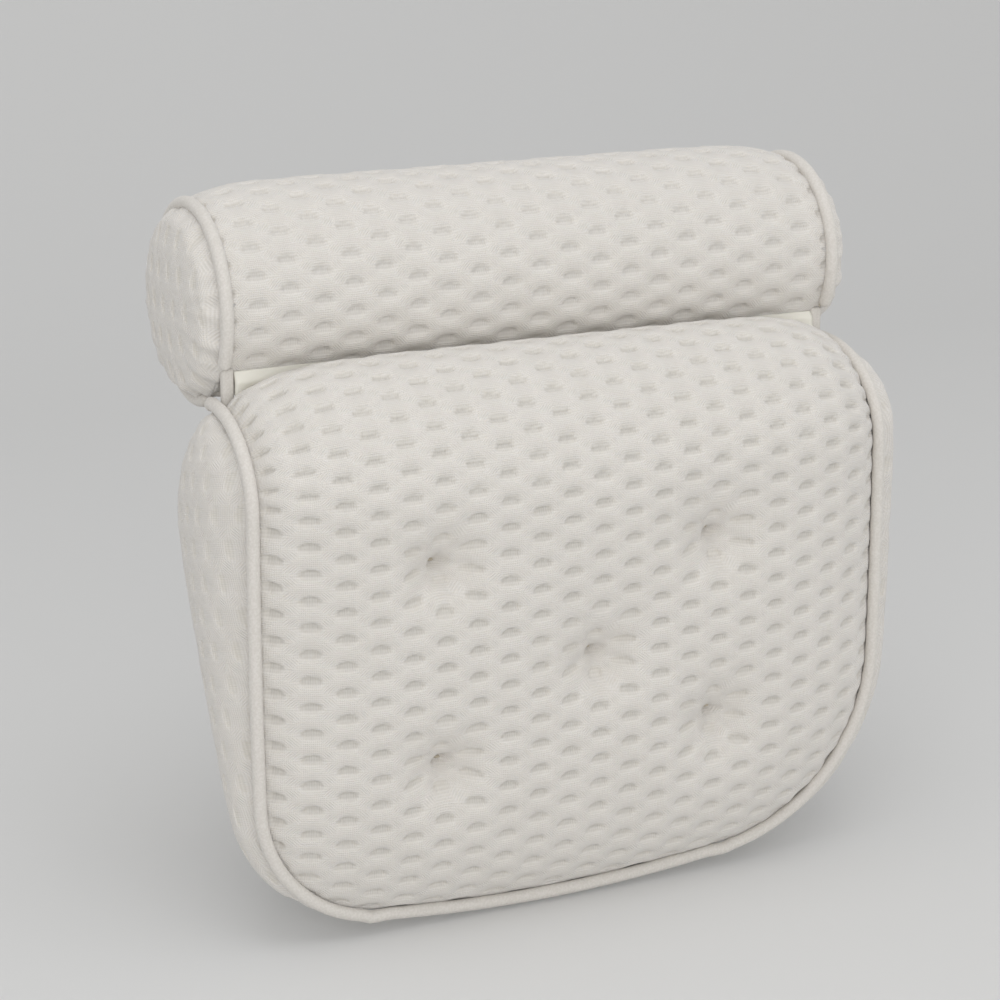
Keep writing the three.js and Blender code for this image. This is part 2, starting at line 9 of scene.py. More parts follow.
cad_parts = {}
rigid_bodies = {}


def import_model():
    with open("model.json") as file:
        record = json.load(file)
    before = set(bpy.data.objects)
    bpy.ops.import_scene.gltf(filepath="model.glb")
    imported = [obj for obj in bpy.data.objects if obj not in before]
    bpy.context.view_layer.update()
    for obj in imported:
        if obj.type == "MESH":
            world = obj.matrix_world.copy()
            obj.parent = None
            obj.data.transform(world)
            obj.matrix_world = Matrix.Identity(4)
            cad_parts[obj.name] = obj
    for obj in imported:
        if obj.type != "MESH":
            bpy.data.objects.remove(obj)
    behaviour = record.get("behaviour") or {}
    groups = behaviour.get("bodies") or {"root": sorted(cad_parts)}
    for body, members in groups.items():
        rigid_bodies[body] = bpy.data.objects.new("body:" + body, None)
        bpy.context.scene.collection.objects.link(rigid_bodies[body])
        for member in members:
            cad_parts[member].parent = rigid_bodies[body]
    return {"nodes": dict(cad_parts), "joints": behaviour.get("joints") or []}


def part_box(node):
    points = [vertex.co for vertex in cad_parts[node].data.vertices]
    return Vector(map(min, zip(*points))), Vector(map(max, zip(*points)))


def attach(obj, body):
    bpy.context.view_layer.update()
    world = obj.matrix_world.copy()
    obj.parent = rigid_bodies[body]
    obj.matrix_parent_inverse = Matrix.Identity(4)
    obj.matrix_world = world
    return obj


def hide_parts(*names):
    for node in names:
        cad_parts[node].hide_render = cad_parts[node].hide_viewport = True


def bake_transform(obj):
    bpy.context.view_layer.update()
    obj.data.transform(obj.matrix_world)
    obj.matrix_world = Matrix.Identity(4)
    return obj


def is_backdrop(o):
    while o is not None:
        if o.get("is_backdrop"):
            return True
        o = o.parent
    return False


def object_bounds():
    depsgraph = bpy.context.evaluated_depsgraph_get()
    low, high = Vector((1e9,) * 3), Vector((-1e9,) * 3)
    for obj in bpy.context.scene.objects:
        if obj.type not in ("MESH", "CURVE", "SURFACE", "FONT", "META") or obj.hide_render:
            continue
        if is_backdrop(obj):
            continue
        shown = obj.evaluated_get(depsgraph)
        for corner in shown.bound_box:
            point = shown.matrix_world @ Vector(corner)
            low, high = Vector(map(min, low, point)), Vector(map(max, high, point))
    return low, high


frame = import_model()
cad_low, cad_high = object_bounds()

# Pad panels, as cut. The front and the back of the wedge share one pattern in air mesh, with rounded
# lower corners, and a leaf-shaped gusset joins them at each side. Lengths are in metres.
PAD_FOOT = np.array((0.0, -0.067701, -0.089717))
PAD_WIDTH = 0.336
SIDE_BOW = 0.002
LOWER_CORNERS = {-1: 0.064, 1: 0.095}
FOOT_SAG = 0.005
FOOT_SAG_REACH = 0.09
SHOULDER_HEIGHT = 0.208
RIDGE_HEIGHT = 0.249
RIDGE_DEPTH = 0.050
WEB_HALF = 0.0008
BACK_SLOPE = math.radians(24)
BACK_STRAIGHT = 0.168
BACK_FOOT_DEPTH = 0.0086
BACK_FOOT_REACH = 0.03
BACK_BEND = np.array(((0.0834, 0.168), (0.0997, 0.2045), (0.0812, 0.2221), (0.0508, 0.249)))
FRONT_CROWN = 0.0265
SWELL_SQUARENESS = 4.2
TOP_SQUARENESS = 7.5
SWELL_FULLNESS = 0.7
SHOULDER_SQUARENESS = 22
BACK_CROWN = 0.0025
BACK_MARGIN = 0.03
GUSSET_BULGE = {-1: 0.0178, 1: 0.0255}
GUSSET_SQUARENESS = 2.6
GUSSET_FULLEST = {-1: 1.0, 1: 0.7}
TUFTS = np.array(((-0.084, 0.179), (0.066, 0.176), (0.001, 0.123), (-0.082, 0.078), (0.069, 0.080)))
TUFT_DIP = 0.0105
TUFT_SPREAD = 0.0125
PAD_COLUMNS = 76
PAD_ROWS = 64
GUSSET_COLUMNS = 14
GUSSET_TIP_SKIP = 4
CURVE_STEPS = 40


def points_at(*coordinates):
    """Points from their coordinates, of which some may be shared by a whole row or column."""
    return np.stack(np.broadcast_arrays(*coordinates), axis=-1)


def size_of(vectors):
    return np.linalg.norm(vectors, axis=-1)


def reach_along(path):
    """Distances along a path of points."""
    return np.append(0.0, np.cumsum(size_of(np.diff(path, axis=0))))


def resampled(path, count):
    """A path of points, spaced evenly along its length."""
    reach = reach_along(path)
    even = np.linspace(0, reach[-1], count + 1)
    return np.stack([np.interp(even, reach, column) for column in path.T], axis=-1)


def walk(line, distance):
    """Depth and height of a side profile at distances along it, and its direction there."""
    reach = reach_along(line)
    slope = np.gradient(line, reach, axis=0)
    slope /= size_of(slope)[:, None]
    return [np.interp(distance, reach, column) for column in np.hstack((line, slope)).T]


shoulder_turn = np.linspace(0, math.pi / 2, CURVE_STEPS)
front_rise = np.linspace(0, SHOULDER_HEIGHT, CURVE_STEPS, endpoint=False)
front_line = np.vstack((
    points_at(0.0, front_rise),
    points_at(
        (RIDGE_DEPTH - WEB_HALF) * (1 - np.cos(shoulder_turn)),
        SHOULDER_HEIGHT + (RIDGE_HEIGHT - SHOULDER_HEIGHT) * np.sin(shoulder_turn),
    ),
))
back_rise = np.linspace(0, BACK_STRAIGHT, CURVE_STEPS, endpoint=False)
back_foot = BACK_FOOT_DEPTH * (1 - np.clip(1 - back_rise / BACK_FOOT_REACH, 0, 1) ** 2)
bend = np.linspace(0, 1, CURVE_STEPS)[:, None]
back_line = np.vstack((
    points_at(back_foot + back_rise * math.tan(BACK_SLOPE), back_rise),
    (1 - bend) ** 3 * BACK_BEND[0]
    + 3 * (1 - bend) ** 2 * bend * BACK_BEND[1]
    + 3 * (1 - bend) * bend ** 2 * BACK_BEND[2]
    + bend ** 3 * BACK_BEND[3],
))


def seam_across(side, distance, length):
    """Where a side seam lies across the pad, at a distance up from the foot."""
    radius = LOWER_CORNERS[side]
    below = np.clip(radius - distance, 0, radius)
    drawn_in = radius - np.sqrt(radius ** 2 - below ** 2)
    return side * (PAD_WIDTH / 2 - drawn_in + SIDE_BOW * np.sin(math.pi * distance / length))


def share_across(cloth, length):
    """-1 on the left seam, 1 on the right one."""
    left = seam_across(-1, cloth[..., 1], length)
    right = seam_across(1, cloth[..., 1], length)
    return np.clip(2 * (cloth[..., 0] - left) / (right - left) - 1, -1, 1)


def cut_pattern(length):
    """The flat cut of a panel, as a grid of places across it and up it."""
    turn = np.linspace(0, math.pi / 2, CURVE_STEPS + 1)
    middle = CURVE_STEPS // 2
    corners = {}
    flanks = {}
    for side, radius in LOWER_CORNERS.items():
        half = PAD_WIDTH / 2
        corner = points_at(side * (half - radius * (1 - np.sin(turn))), radius * (1 - np.cos(turn)))
        corners[side] = corner
        flanks[side] = resampled(np.vstack((corner[middle:], (side * half, length))), PAD_ROWS)
    bottom = resampled(np.vstack((corners[-1][middle::-1], corners[1][:middle + 1])), PAD_COLUMNS)
    top = resampled(np.vstack((flanks[-1][-1], flanks[1][-1])), PAD_COLUMNS)
    over = np.linspace(0, 1, PAD_COLUMNS + 1)[None, :, None]
    up = np.linspace(0, 1, PAD_ROWS + 1)[:, None, None]
    left, right = flanks[-1][:, None], flanks[1][:, None]
    cloth = (1 - up) * bottom + up * top + (1 - over) * left + over * right
    cloth -= (1 - up) * ((1 - over) * bottom[0] + over * bottom[-1])
    cloth -= up * ((1 - over) * top[0] + over * top[-1])
    cloth[..., 0] *= 1 + 2 * SIDE_BOW / PAD_WIDTH * np.sin(math.pi * cloth[..., 1] / length)
    return cloth


def on_panel(line, facing, cloth, lift):
    """Puts places of a panel's cut on its side profile, raised by lift."""
    depth, height, run_depth, run_height = walk(line, cloth[..., 1])
    share = share_across(cloth, reach_along(line)[-1])
    sag = FOOT_SAG * (1 - share ** 2) * np.clip(1 - cloth[..., 1] / FOOT_SAG_REACH, 0, 1) ** 2
    depth = depth - facing * run_height * lift
    height = height + facing * run_depth * lift - sag
    return points_at(cloth[..., 0], depth, height) + PAD_FOOT


def eased(share):
    """A smooth step from 0 to 1."""
    return share ** 2 * (3 - 2 * share)


def swell(reach, squareness):
    return (1 - np.abs(reach) ** squareness) ** SWELL_FULLNESS


def front_lift(cloth):
    """The front's crown, which drops steeply into the hinge seam and dips at the tufts."""
    length = reach_along(front_line)[-1]
    up = np.clip(2 * cloth[..., 1] / length - 1, -1, 1)
    shoulder = np.sqrt(1 - np.clip(up, 0, 1) ** SHOULDER_SQUARENESS)
    squareness = SWELL_SQUARENESS + (TOP_SQUARENESS - SWELL_SQUARENESS) * np.clip(up, 0, 1)
    rise = np.where(up < 0, swell(np.minimum(up, 0), SWELL_SQUARENESS), shoulder)
    lift = FRONT_CROWN * swell(share_across(cloth, length), squareness) * rise
    for tuft in TUFTS:
        reach = size_of(cloth - tuft) / TUFT_SPREAD
        lift = lift - TUFT_DIP * np.exp(-(reach ** 2) / 2)
    return np.maximum(lift, 0)


def back_lift(cloth):
    """The back is flat where the cups sit, with a rounded margin."""
    length = reach_along(back_line)[-1]
    inset = (1 - np.abs(share_across(cloth, length))) * PAD_WIDTH / 2
    margins = np.stack((inset, cloth[..., 1], length - cloth[..., 1]))
    rise = np.clip(margins / BACK_MARGIN, 0, 1)
    return BACK_CROWN * np.prod(eased(rise), axis=0)


front_cut = cut_pattern(reach_along(front_line)[-1])
back_cut = cut_pattern(reach_along(back_line)[-1])
front_grid = on_panel(front_line, 1, front_cut, front_lift(front_cut))
back_grid = on_panel(back_line, -1, back_cut, back_lift(back_cut))


def side_seam(grid, cloth, side):
    """The border of a panel from its foot up one side to the ridge."""
    corner = side * (PAD_WIDTH / 2 - LOWER_CORNERS[side])
    tip = int(np.argmin(np.abs(cloth[0, :, 0] - corner))) + side * GUSSET_TIP_SKIP
    foot = grid[0, tip::-1] if side < 0 else grid[0, tip:]
    flank = grid[1:, 0] if side < 0 else grid[1:, -1]
    return np.vstack((foot, flank))


def seam_outward(side, distance):
    """Which way a side seam faces, seen from the front."""
    down = np.clip(LOWER_CORNERS[side] - distance, 0, None) / LOWER_CORNERS[side]
    return points_at(side * np.sqrt(1 - down ** 2), 0.0, -down)


def cut_gusset(side):
    """A gusset's grid, swollen outwards, and its cut: along the seam, and over from front to back."""
    front = side_seam(front_grid, front_cut, side)
    back = side_seam(back_grid, back_cut, side)
    outward = seam_outward(side, side_seam(front_cut, front_cut, side)[:, 1])
    width = size_of(back - front)
    over = np.linspace(0, 1, GUSSET_COLUMNS + 1)
    profile = 1 - np.abs(2 * over ** GUSSET_FULLEST[side] - 1) ** GUSSET_SQUARENESS
    bulge = GUSSET_BULGE[side] * np.sqrt(width / width.max())[:, None] * profile
    grid = front[:, None] * (1 - over[:, None]) + back[:, None] * over[:, None]
    grid = grid + outward[:, None] * bulge[..., None]
    along = reach_along(front)[:, None]
    return grid, points_at(along, width[:, None] * (over - 0.5))


left_gusset_grid, left_gusset_cut = cut_gusset(-1)
right_gusset_grid, right_gusset_cut = cut_gusset(1)

# Stuffing. The panels are sewn into a bag and filled with fibre until they are tight: each bag is blown up
# as cloth, with its seams held by the piping and its tufts by their threads.
SEWN_WITHIN = 0.0003
STUFFING_FRAMES = 20
STUFFING_CLOTH = {
    "quality": 6, "mass": 0.3, "tension_stiffness": 25, "compression_stiffness": 25,
    "shear_stiffness": 12, "bending_stiffness": 12, "shrink_min": -0.001, "use_pressure": True,
}
PAD_PRESSURE = 3.0
PAD_SWELL_LIMIT = 0.006
TUFT_HOLD = 0.0035
EYELET_HOLD = 0.014
EYELET_EASE = 0.03


def quads_of(index):
    """The corners of each cell of a grid of indices."""
    corners = (index[:-1, :-1], index[:-1, 1:], index[1:, 1:], index[1:, :-1])
    return np.stack(corners, axis=-1).reshape(-1, 4).tolist()


def faced_out(mesh):
    """Turns the faces of a closed mesh outwards."""
    work = bmesh.new()
    work.from_mesh(mesh)
    bmesh.ops.recalc_face_normals(work, faces=work.faces)
    work.to_mesh(mesh)
    work.free()


def placed(name, data):
    """A new object in the scene."""
    thing = bpy.data.objects.new(name, data)
    bpy.context.scene.collection.objects.link(thing)
    return thing


def stuffed(grids, held, eyelets, pressure, limit):
    """Sews the grids of a bag together, blows it up, and gives the grids back as they settle."""
    points = np.concatenate([grid.reshape(-1, 3) for grid in grids])
    near = kdtree.KDTree(len(points))
    for index, point in enumerate(points):
        near.insert(point, index)
    near.balance()
    first = np.array([min(found[1] for found in near.find_range(point, SEWN_WITHIN)) for point in points])
    kept, sewn = np.unique(first, return_inverse=True)
    faces = []
    start = 0
    for grid in grids:
        index = sewn[start:start + grid.shape[0] * grid.shape[1]].reshape(grid.shape[:2])
        start += index.size
        corners = [list(dict.fromkeys(quad)) for quad in quads_of(index)]
        faces += [face for face in corners if len(face) > 2]
    mesh = bpy.data.meshes.new("bag")
    mesh.from_pydata(points[kept].tolist(), [], faces)
    faced_out(mesh)
    bag = placed("bag", mesh)
    group = bag.vertex_groups.new(name="held")
    held_flat = np.concatenate([mask.ravel() for mask in held])
    group.add(np.unique(sewn[held_flat]).tolist(), 1.0, "REPLACE")
    cloth = bag.modifiers.new("stuffing", "CLOTH")
    cloth.collision_settings.use_collision = False
    for setting, value in STUFFING_CLOTH.items():
        setattr(cloth.settings, setting, value)
    cloth.settings.vertex_group_mass = "held"
    cloth.settings.uniform_pressure_force = pressure
    cloth.settings.effector_weights.gravity = 0
    scene = bpy.context.scene
    for step in range(1, STUFFING_FRAMES + 1):
        scene.frame_set(step)
    blown = bag.evaluated_get(bpy.context.evaluated_depsgraph_get()).to_mesh()
    settled = np.array([vertex.co for vertex in blown.vertices])
    bpy.data.objects.remove(bag)
    scene.frame_set(1)
    shift = settled - points[kept]
    reach = size_of(shift)[:, None]
    shift *= np.minimum(1, limit / np.maximum(reach, 1e-9))
    for place, axis in eyelets:
        away = size_of(points[kept] - place)[:, None]
        shift *= eased(np.clip((away - EYELET_HOLD) / EYELET_EASE, 0, 1))
    moved = points + shift[sewn]
    ends = np.cumsum([grid.shape[0] * grid.shape[1] for grid in grids])[:-1]
    return [part.reshape(grid.shape) for part, grid in zip(np.split(moved, ends), grids)]


def eyelet_holes(body):
    """Where the suction cups go through the cloth of a body, and which way they point."""
    return [(joint["pos_m"], joint["axis"]) for joint in frame["joints"]
            if joint["parent"] == body and joint.get("continuous")]


def held_points(grid, places=(), reach=0.0):
    """A grid's border, and what lies within reach of some places."""
    mask = np.ones(grid.shape[:2], bool)
    mask[1:-1, 1:-1] = False
    for place in places:
        mask |= size_of(grid - place) < reach
    return mask


pad_holes = eyelet_holes("pad")
pad_grids = [front_grid, back_grid, left_gusset_grid, right_gusset_grid]
pad_held = [
    held_points(front_cut, TUFTS, TUFT_HOLD),
    held_points(back_grid, [place for place, axis in pad_holes], EYELET_HOLD),
    held_points(left_gusset_grid),
    held_points(right_gusset_grid),
]
pad_grids = stuffed(pad_grids, pad_held, pad_holes, PAD_PRESSURE, PAD_SWELL_LIMIT)
front_grid, back_grid, left_gusset_grid, right_gusset_grid = pad_grids

# Air mesh. A knitted spacer cloth about 4 mm thick, in ivory polyester: two faces joined by upright threads,
# with staggered half-moon dimples pressed into the outer face. It is cut, sewn in and stuffed as above.
CLOTH_THICKNESS = 0.004
HOLE_LENGTH = 0.024
DIMPLE_COLUMN_PITCH = 0.0166
DIMPLE_ROW_PITCH = 0.0134
DIMPLE_WIDTH = 0.0116
DIMPLE_HEIGHT = 0.0068
DIMPLE_DEPTH = 0.0028
# Painted shade: how strongly the dimple pits of the front and back are coloured darker, in place of shade
# from light above.
DIMPLE_PAINTED_SHADE = 0.24
FLATTENED_BY = 0.002
SEAM_CELLS = 3
COURSE_SPREAD = 0.0016
COURSE_PITCH = 0.0012
WALE_PITCH = 0.0009
PIT_THREAD_PITCH = 0.00115
HATCH_PITCH = 0.0016
PIT_THREAD_RELIEF = 0.4
PIT_THREAD_GLEAM = 0.25
COURSE_SHARE = 0.65
RIM_START = 0.72
LOWER_RIM_EASE = 0.55
PIT_FLOOR = 0.6
PIT_FLOOR_TILT = 0.4
DISH_SHARE = 0.5
DISH_NARROWNESS = 0.55
COURSE_NARROWNESS = 0.7
# Painted shade in each pit runs from its lower rim to its upper rim, and is darkest at the top.
SHADE_FOOT = -0.9
SHADE_HEAD = 0.55
SHADE_LEAST = 0.15
HATCH_START = 0.2
HATCH_FULL = 0.42
KNIT_PATCH_SCALE = 60.0
KNIT_PATCHINESS = 0.8
KNIT_GLEAM = 0.45
KNIT_RELIEF = 0.0004
MESH_IVORY = (0.795, 0.764, 0.727, 1)
# Painted shade: the warm grey that the pits are coloured, in place of the shade inside them.
PIT_PAINTED_SHADE = (0.56, 0.52, 0.4, 1)
# Painted shade: the colour of the knit's grooves, where its relief is low.
KNIT_GROOVE_PAINTED_SHADE = (0.675, 0.645, 0.6, 1)


class Wire:
    """One output of a node. Sums on it add maths nodes, and brackets pick another output."""

    def __init__(self, tree, node, output=0):
        self.tree = tree
        self.node = node
        self.output = output

    def __getitem__(self, output):
        return Wire(self.tree, self.node, output)

    def __add__(self, value):
        return self.calc("ADD", value)

    def __sub__(self, value):
        return self.calc("SUBTRACT", value)

    def __rsub__(self, value):
        return self.calc("MULTIPLY_ADD", -1.0, value)

    def __mul__(self, value):
        return self.calc("MULTIPLY", value)

    def __truediv__(self, value):
        return self.calc("DIVIDE", value)

    def calc(self, operation, *values):
        """A maths node on this output and other values."""
        node = self.tree.nodes.new("ShaderNodeMath")
        node.operation = operation
        for socket, value in zip(node.inputs, (self, *values)):
            join(self.tree, value, socket)
        return Wire(self.tree, node)

    def ramp(self, low, high, start=0.0, end=1.0):
        """A smooth step of this output from one level to another."""
        return add(
            self.tree, "ShaderNodeMapRange", interpolation_type="SMOOTHSTEP",
            Value=self, From_Min=low, From_Max=high, To_Min=start, To_Max=end,
        )


def join(tree, value, socket):
    """Links an input to a wire, or sets it to a plain value."""
    if isinstance(value, Wire):
        tree.links.new(value.node.outputs[value.output], socket)
    else:
        socket.default_value = value


def feed(tree, node, values):
    """Sets or links a node's inputs by name, where _ stands for a space."""
    for name, value in values.items():
        join(tree, value, node.inputs[name.replace("_", " ")])


def add(tree, kind, output=0, **values):
    """One output of a new node. Names with a capital are its inputs, and the others its settings."""
    node = tree.nodes.new(kind)
    for name, value in values.items():
        if name.islower():
            setattr(node, name, value)
    feed(tree, node, {name: value for name, value in values.items() if not name.islower()})
    return Wire(tree, node, output)


def blended(amount, low, high):
    """A mix of two colours."""
    node = amount.tree.nodes.new("ShaderNodeMix")
    node.data_type = "RGBA"
    for socket, value in ((node.inputs[0], amount), (node.inputs[6], low), (node.inputs[7], high)):
        join(amount.tree, value, socket)
    return Wire(amount.tree, node, 2)


def new_tree(name, *numbers):
    """An empty node tree that takes a mesh, some numbers and a material, and a wire to each of them."""
    tree = bpy.data.node_groups.new(name, "GeometryNodeTree")
    kinds = {"Geometry": "NodeSocketGeometry", "Material": "NodeSocketMaterial"}
    for port in ("Geometry", *numbers, "Material"):
        tree.interface.new_socket(port, in_out="INPUT", socket_type=kinds.get(port, "NodeSocketFloat"))
    tree.interface.new_socket("Geometry", in_out="OUTPUT", socket_type="NodeSocketGeometry")
    return tree, Wire(tree, tree.nodes.new("NodeGroupInput"))


def pushed_out(tree, geometry, distance):
    """A surface moved along its normals and shaded smooth."""
    normal = add(tree, "GeometryNodeInputNormal")
    offset = add(tree, "ShaderNodeVectorMath", operation="SCALE", Vector=normal, Scale=distance)
    moved = add(tree, "GeometryNodeSetPosition", Geometry=geometry, Offset=offset)
    return add(tree, "GeometryNodeSetShadeSmooth", Geometry=moved)


def end_tree(tree, geometry, material):
    """Realizes the copies, sets the material and ends the tree."""
    real = add(tree, "GeometryNodeRealizeInstances", Geometry=geometry)
    dressed = add(tree, "GeometryNodeSetMaterial", Geometry=real, Material=material)
    join(tree, dressed, tree.nodes.new("NodeGroupOutput").inputs[0])


def settle(piece):
    """Turns a piece and its modifiers into a plain mesh."""
    depsgraph = bpy.context.evaluated_depsgraph_get()
    made = bpy.data.meshes.new_from_object(
        piece.evaluated_get(depsgraph), preserve_all_data_layers=True, depsgraph=depsgraph
    )
    piece.modifiers.clear()
    piece.data = made
    made.name = piece.name


def grown(name, mesh, tree, sizes):
    """A piece made by a tree from a base mesh, as a plain mesh at the origin."""
    piece = placed(name, mesh)
    modifier = piece.modifiers.new("grown", "NODES")
    modifier.node_group = tree
    ports = {item.name: item.identifier for item in tree.interface.items_tree if item.in_out == "INPUT"}
    for port, value in sizes.items():
        modifier[ports[port]] = value
    settle(piece)
    return piece


# One of the numbers sets how dark the pits are painted, as painted shade.
dimples, port = new_tree(
    "pressed_dimples", "Column pitch", "Row pitch", "Width", "Height", "Depth", "Tint", "Course spread"
)
place = add(dimples, "GeometryNodeInputNamedAttribute", "Attribute", data_type="FLOAT_VECTOR", Name="cloth")
open_face = add(dimples, "GeometryNodeInputNamedAttribute", "Attribute", Name="face_side")
cloth = add(dimples, "ShaderNodeSeparateXYZ", Vector=place)
column_place = cloth["X"] / port["Column pitch"]
column = column_place.calc("ROUND")
off_column = column_place - column
half_drop = column.calc("FLOORED_MODULO", 2.0) * 0.5
row_place = cloth["Y"] / port["Row pitch"] - half_drop
off_row = row_place - row_place.calc("ROUND")
out_across = off_column * port["Column pitch"] / (port["Width"] * 0.5)
out_up = off_row * port["Row pitch"] / (port["Height"] * 0.5)
out_square = out_across * out_across + out_up * out_up
soft_edge = out_up.calc("MINIMUM", 0.0) * LOWER_RIM_EASE + RIM_START
rim_share = (1.0 - out_square.calc("SQRT")) / (1.0 - soft_edge)
pit = rim_share.ramp(0.0, 1.0) * open_face
floor_tilt = out_up * PIT_FLOOR_TILT + PIT_FLOOR
dish = (out_square * -DISH_NARROWNESS).calc("EXPONENT") * DISH_SHARE * open_face
sunk = (pit * floor_tilt + dish) * port["Depth"]
# Painted shade: each pit is coloured darker under its upper rim and lighter towards its foot, as if lit from
# above.
shade = pit * out_up.ramp(SHADE_FOOT, SHADE_HEAD, SHADE_LEAST, 1.0) * port["Tint"]
between = off_column.calc("ABSOLUTE").ramp(HATCH_START, HATCH_FULL)
row_wave = (row_place * (2 * math.pi)).calc("SINE")
slant = row_wave * between * off_column.calc("SIGN")
near_pit = (out_square * -COURSE_NARROWNESS).calc("EXPONENT")
course = cloth["Y"] - near_pit * out_up * port["Course spread"]
marked = port["Geometry"]
for mark, value in (("pit", pit), ("shade", shade), ("course", course), ("slant", slant)):
    marked = add(dimples, "GeometryNodeStoreNamedAttribute", Geometry=marked, Name=mark, Value=value)
end_tree(dimples, pushed_out(dimples, marked, sunk * -1.0), port["Material"])


def new_material(name, **values):
    """A material with its tree and its shader, whose inputs are set by name."""
    material = bpy.data.materials.new(name)
    material.use_nodes = True
    shader = material.node_tree.nodes["Principled BSDF"]
    feed(material.node_tree, shader, values)
    return material, material.node_tree, shader


def wave(value, pitch):
    """Even ridges across a length, from 0 to 1."""
    return (value * (2 * math.pi / pitch)).calc("SINE") * 0.5 + 0.5


def grain(tree, scale, detail):
    """Noise in the object's own space."""
    place = add(tree, "ShaderNodeTexCoord", "Object")
    return add(tree, "ShaderNodeTexNoise", "Fac", Vector=place, Scale=scale, Detail=detail)


air_mesh, tree, shader = new_material(
    "air_mesh", Roughness=0.92, Specular_IOR_Level=0.25, Sheen_Weight=0.25, Sheen_Roughness=0.5,
    Subsurface_Weight=0.35, Subsurface_Radius=(1.0, 0.95, 0.85), Subsurface_Scale=0.006,
)
cloth = add(tree, "ShaderNodeSeparateXYZ", Vector=add(tree, "ShaderNodeUVMap", uv_map="cloth"))
pit, shade, course, slant = [
    add(tree, "ShaderNodeAttribute", "Fac", attribute_name=mark)
    for mark in ("pit", "shade", "course", "slant")
]
courses = wave(course, COURSE_PITCH)
wales = wave(cloth["X"], WALE_PITCH)
pit_threads = wave(cloth["X"], PIT_THREAD_PITCH)
plain_knit = courses * COURSE_SHARE + wales * (1 - COURSE_SHARE)
rising = wave(cloth["X"] + cloth["Y"], HATCH_PITCH) * slant.calc("MAXIMUM", 0.0)
falling = wave(cloth["X"] - cloth["Y"], HATCH_PITCH) * (slant * -1.0).calc("MAXIMUM", 0.0)
knit = plain_knit * (1.0 - slant.calc("ABSOLUTE")) + (rising + falling)
thread_height = knit * (1.0 - pit) + pit_threads * PIT_THREAD_RELIEF * pit
uneven = grain(tree, KNIT_PATCH_SCALE, 3.0)
# The land's colour: painted shade in the knit's grooves and a painted highlight on its ridges, with a patchy
# tone at random.
land_colour = blended(knit * (uneven * KNIT_PATCHINESS + KNIT_GLEAM), KNIT_GROOVE_PAINTED_SHADE, MESH_IVORY)
# The pits' colour is painted shade, with the pile threads a little lighter.
pit_painted_shade = blended(pit_threads * PIT_THREAD_GLEAM, PIT_PAINTED_SHADE, MESH_IVORY)
bump = add(tree, "ShaderNodeBump", Height=thread_height, Strength=0.75, Distance=KNIT_RELIEF)
feed(tree, shader, {"Base_Color": blended(shade, land_colour, pit_painted_shade), "Normal": bump})


def refined(grid, times):
    """A grid with more rows and columns, on smooth curves through its points."""
    t = np.arange(times) / times
    weights = (
        (-t + 2 * t ** 2 - t ** 3) / 2,
        (2 - 5 * t ** 2 + 3 * t ** 3) / 2,
        (t + 4 * t ** 2 - 3 * t ** 3) / 2,
        (-(t ** 2) + t ** 3) / 2,
    )
    for axis in (0, 1):
        rows = np.moveaxis(grid, axis, 0)
        padded = np.concatenate(([2 * rows[0] - rows[1]], rows, [2 * rows[-1] - rows[-2]]))
        spans = len(rows) - 1
        parts = [np.multiply.outer(weight, padded[k:k + spans]) for k, weight in enumerate(weights)]
        fine = np.moveaxis(sum(parts), 0, 1).reshape(spans * times, *rows.shape[1:])
        grid = np.moveaxis(np.concatenate((fine, rows[-1:])), 0, axis)
    return grid


def facing_of(grid):
    """Unit normals of a grid, where columns run to the right and rows up."""
    normal = np.cross(np.gradient(grid, axis=1), np.gradient(grid, axis=0))
    return normal / np.maximum(size_of(normal)[..., None], 1e-12)


def standing(place, axis):
    """Where a piece goes whose own height runs along an axis."""
    return Matrix.Translation(place) @ Vector(axis).to_track_quat("Z", "Y").to_matrix().to_4x4()


def mesh_of(name, work):
    """A mesh of the shape worked out so far, which ends the work."""
    mesh = bpy.data.meshes.new(name)
    work.to_mesh(mesh)
    work.free()
    return mesh


def punched(piece, holes, radius):
    """Round holes through a piece, each along its own axis."""
    work = bmesh.new()
    for place, axis in holes:
        bmesh.ops.create_cone(
            work, cap_ends=True, segments=32, radius1=radius, radius2=radius, depth=HOLE_LENGTH,
            matrix=standing(place, axis),
        )
    punch = placed("punch", mesh_of("punch", work))
    cut = piece.modifiers.new("holes", "BOOLEAN")
    cut.operation = "DIFFERENCE"
    cut.solver = "EXACT"
    cut.object = punch
    settle(piece)
    bpy.data.objects.remove(punch)
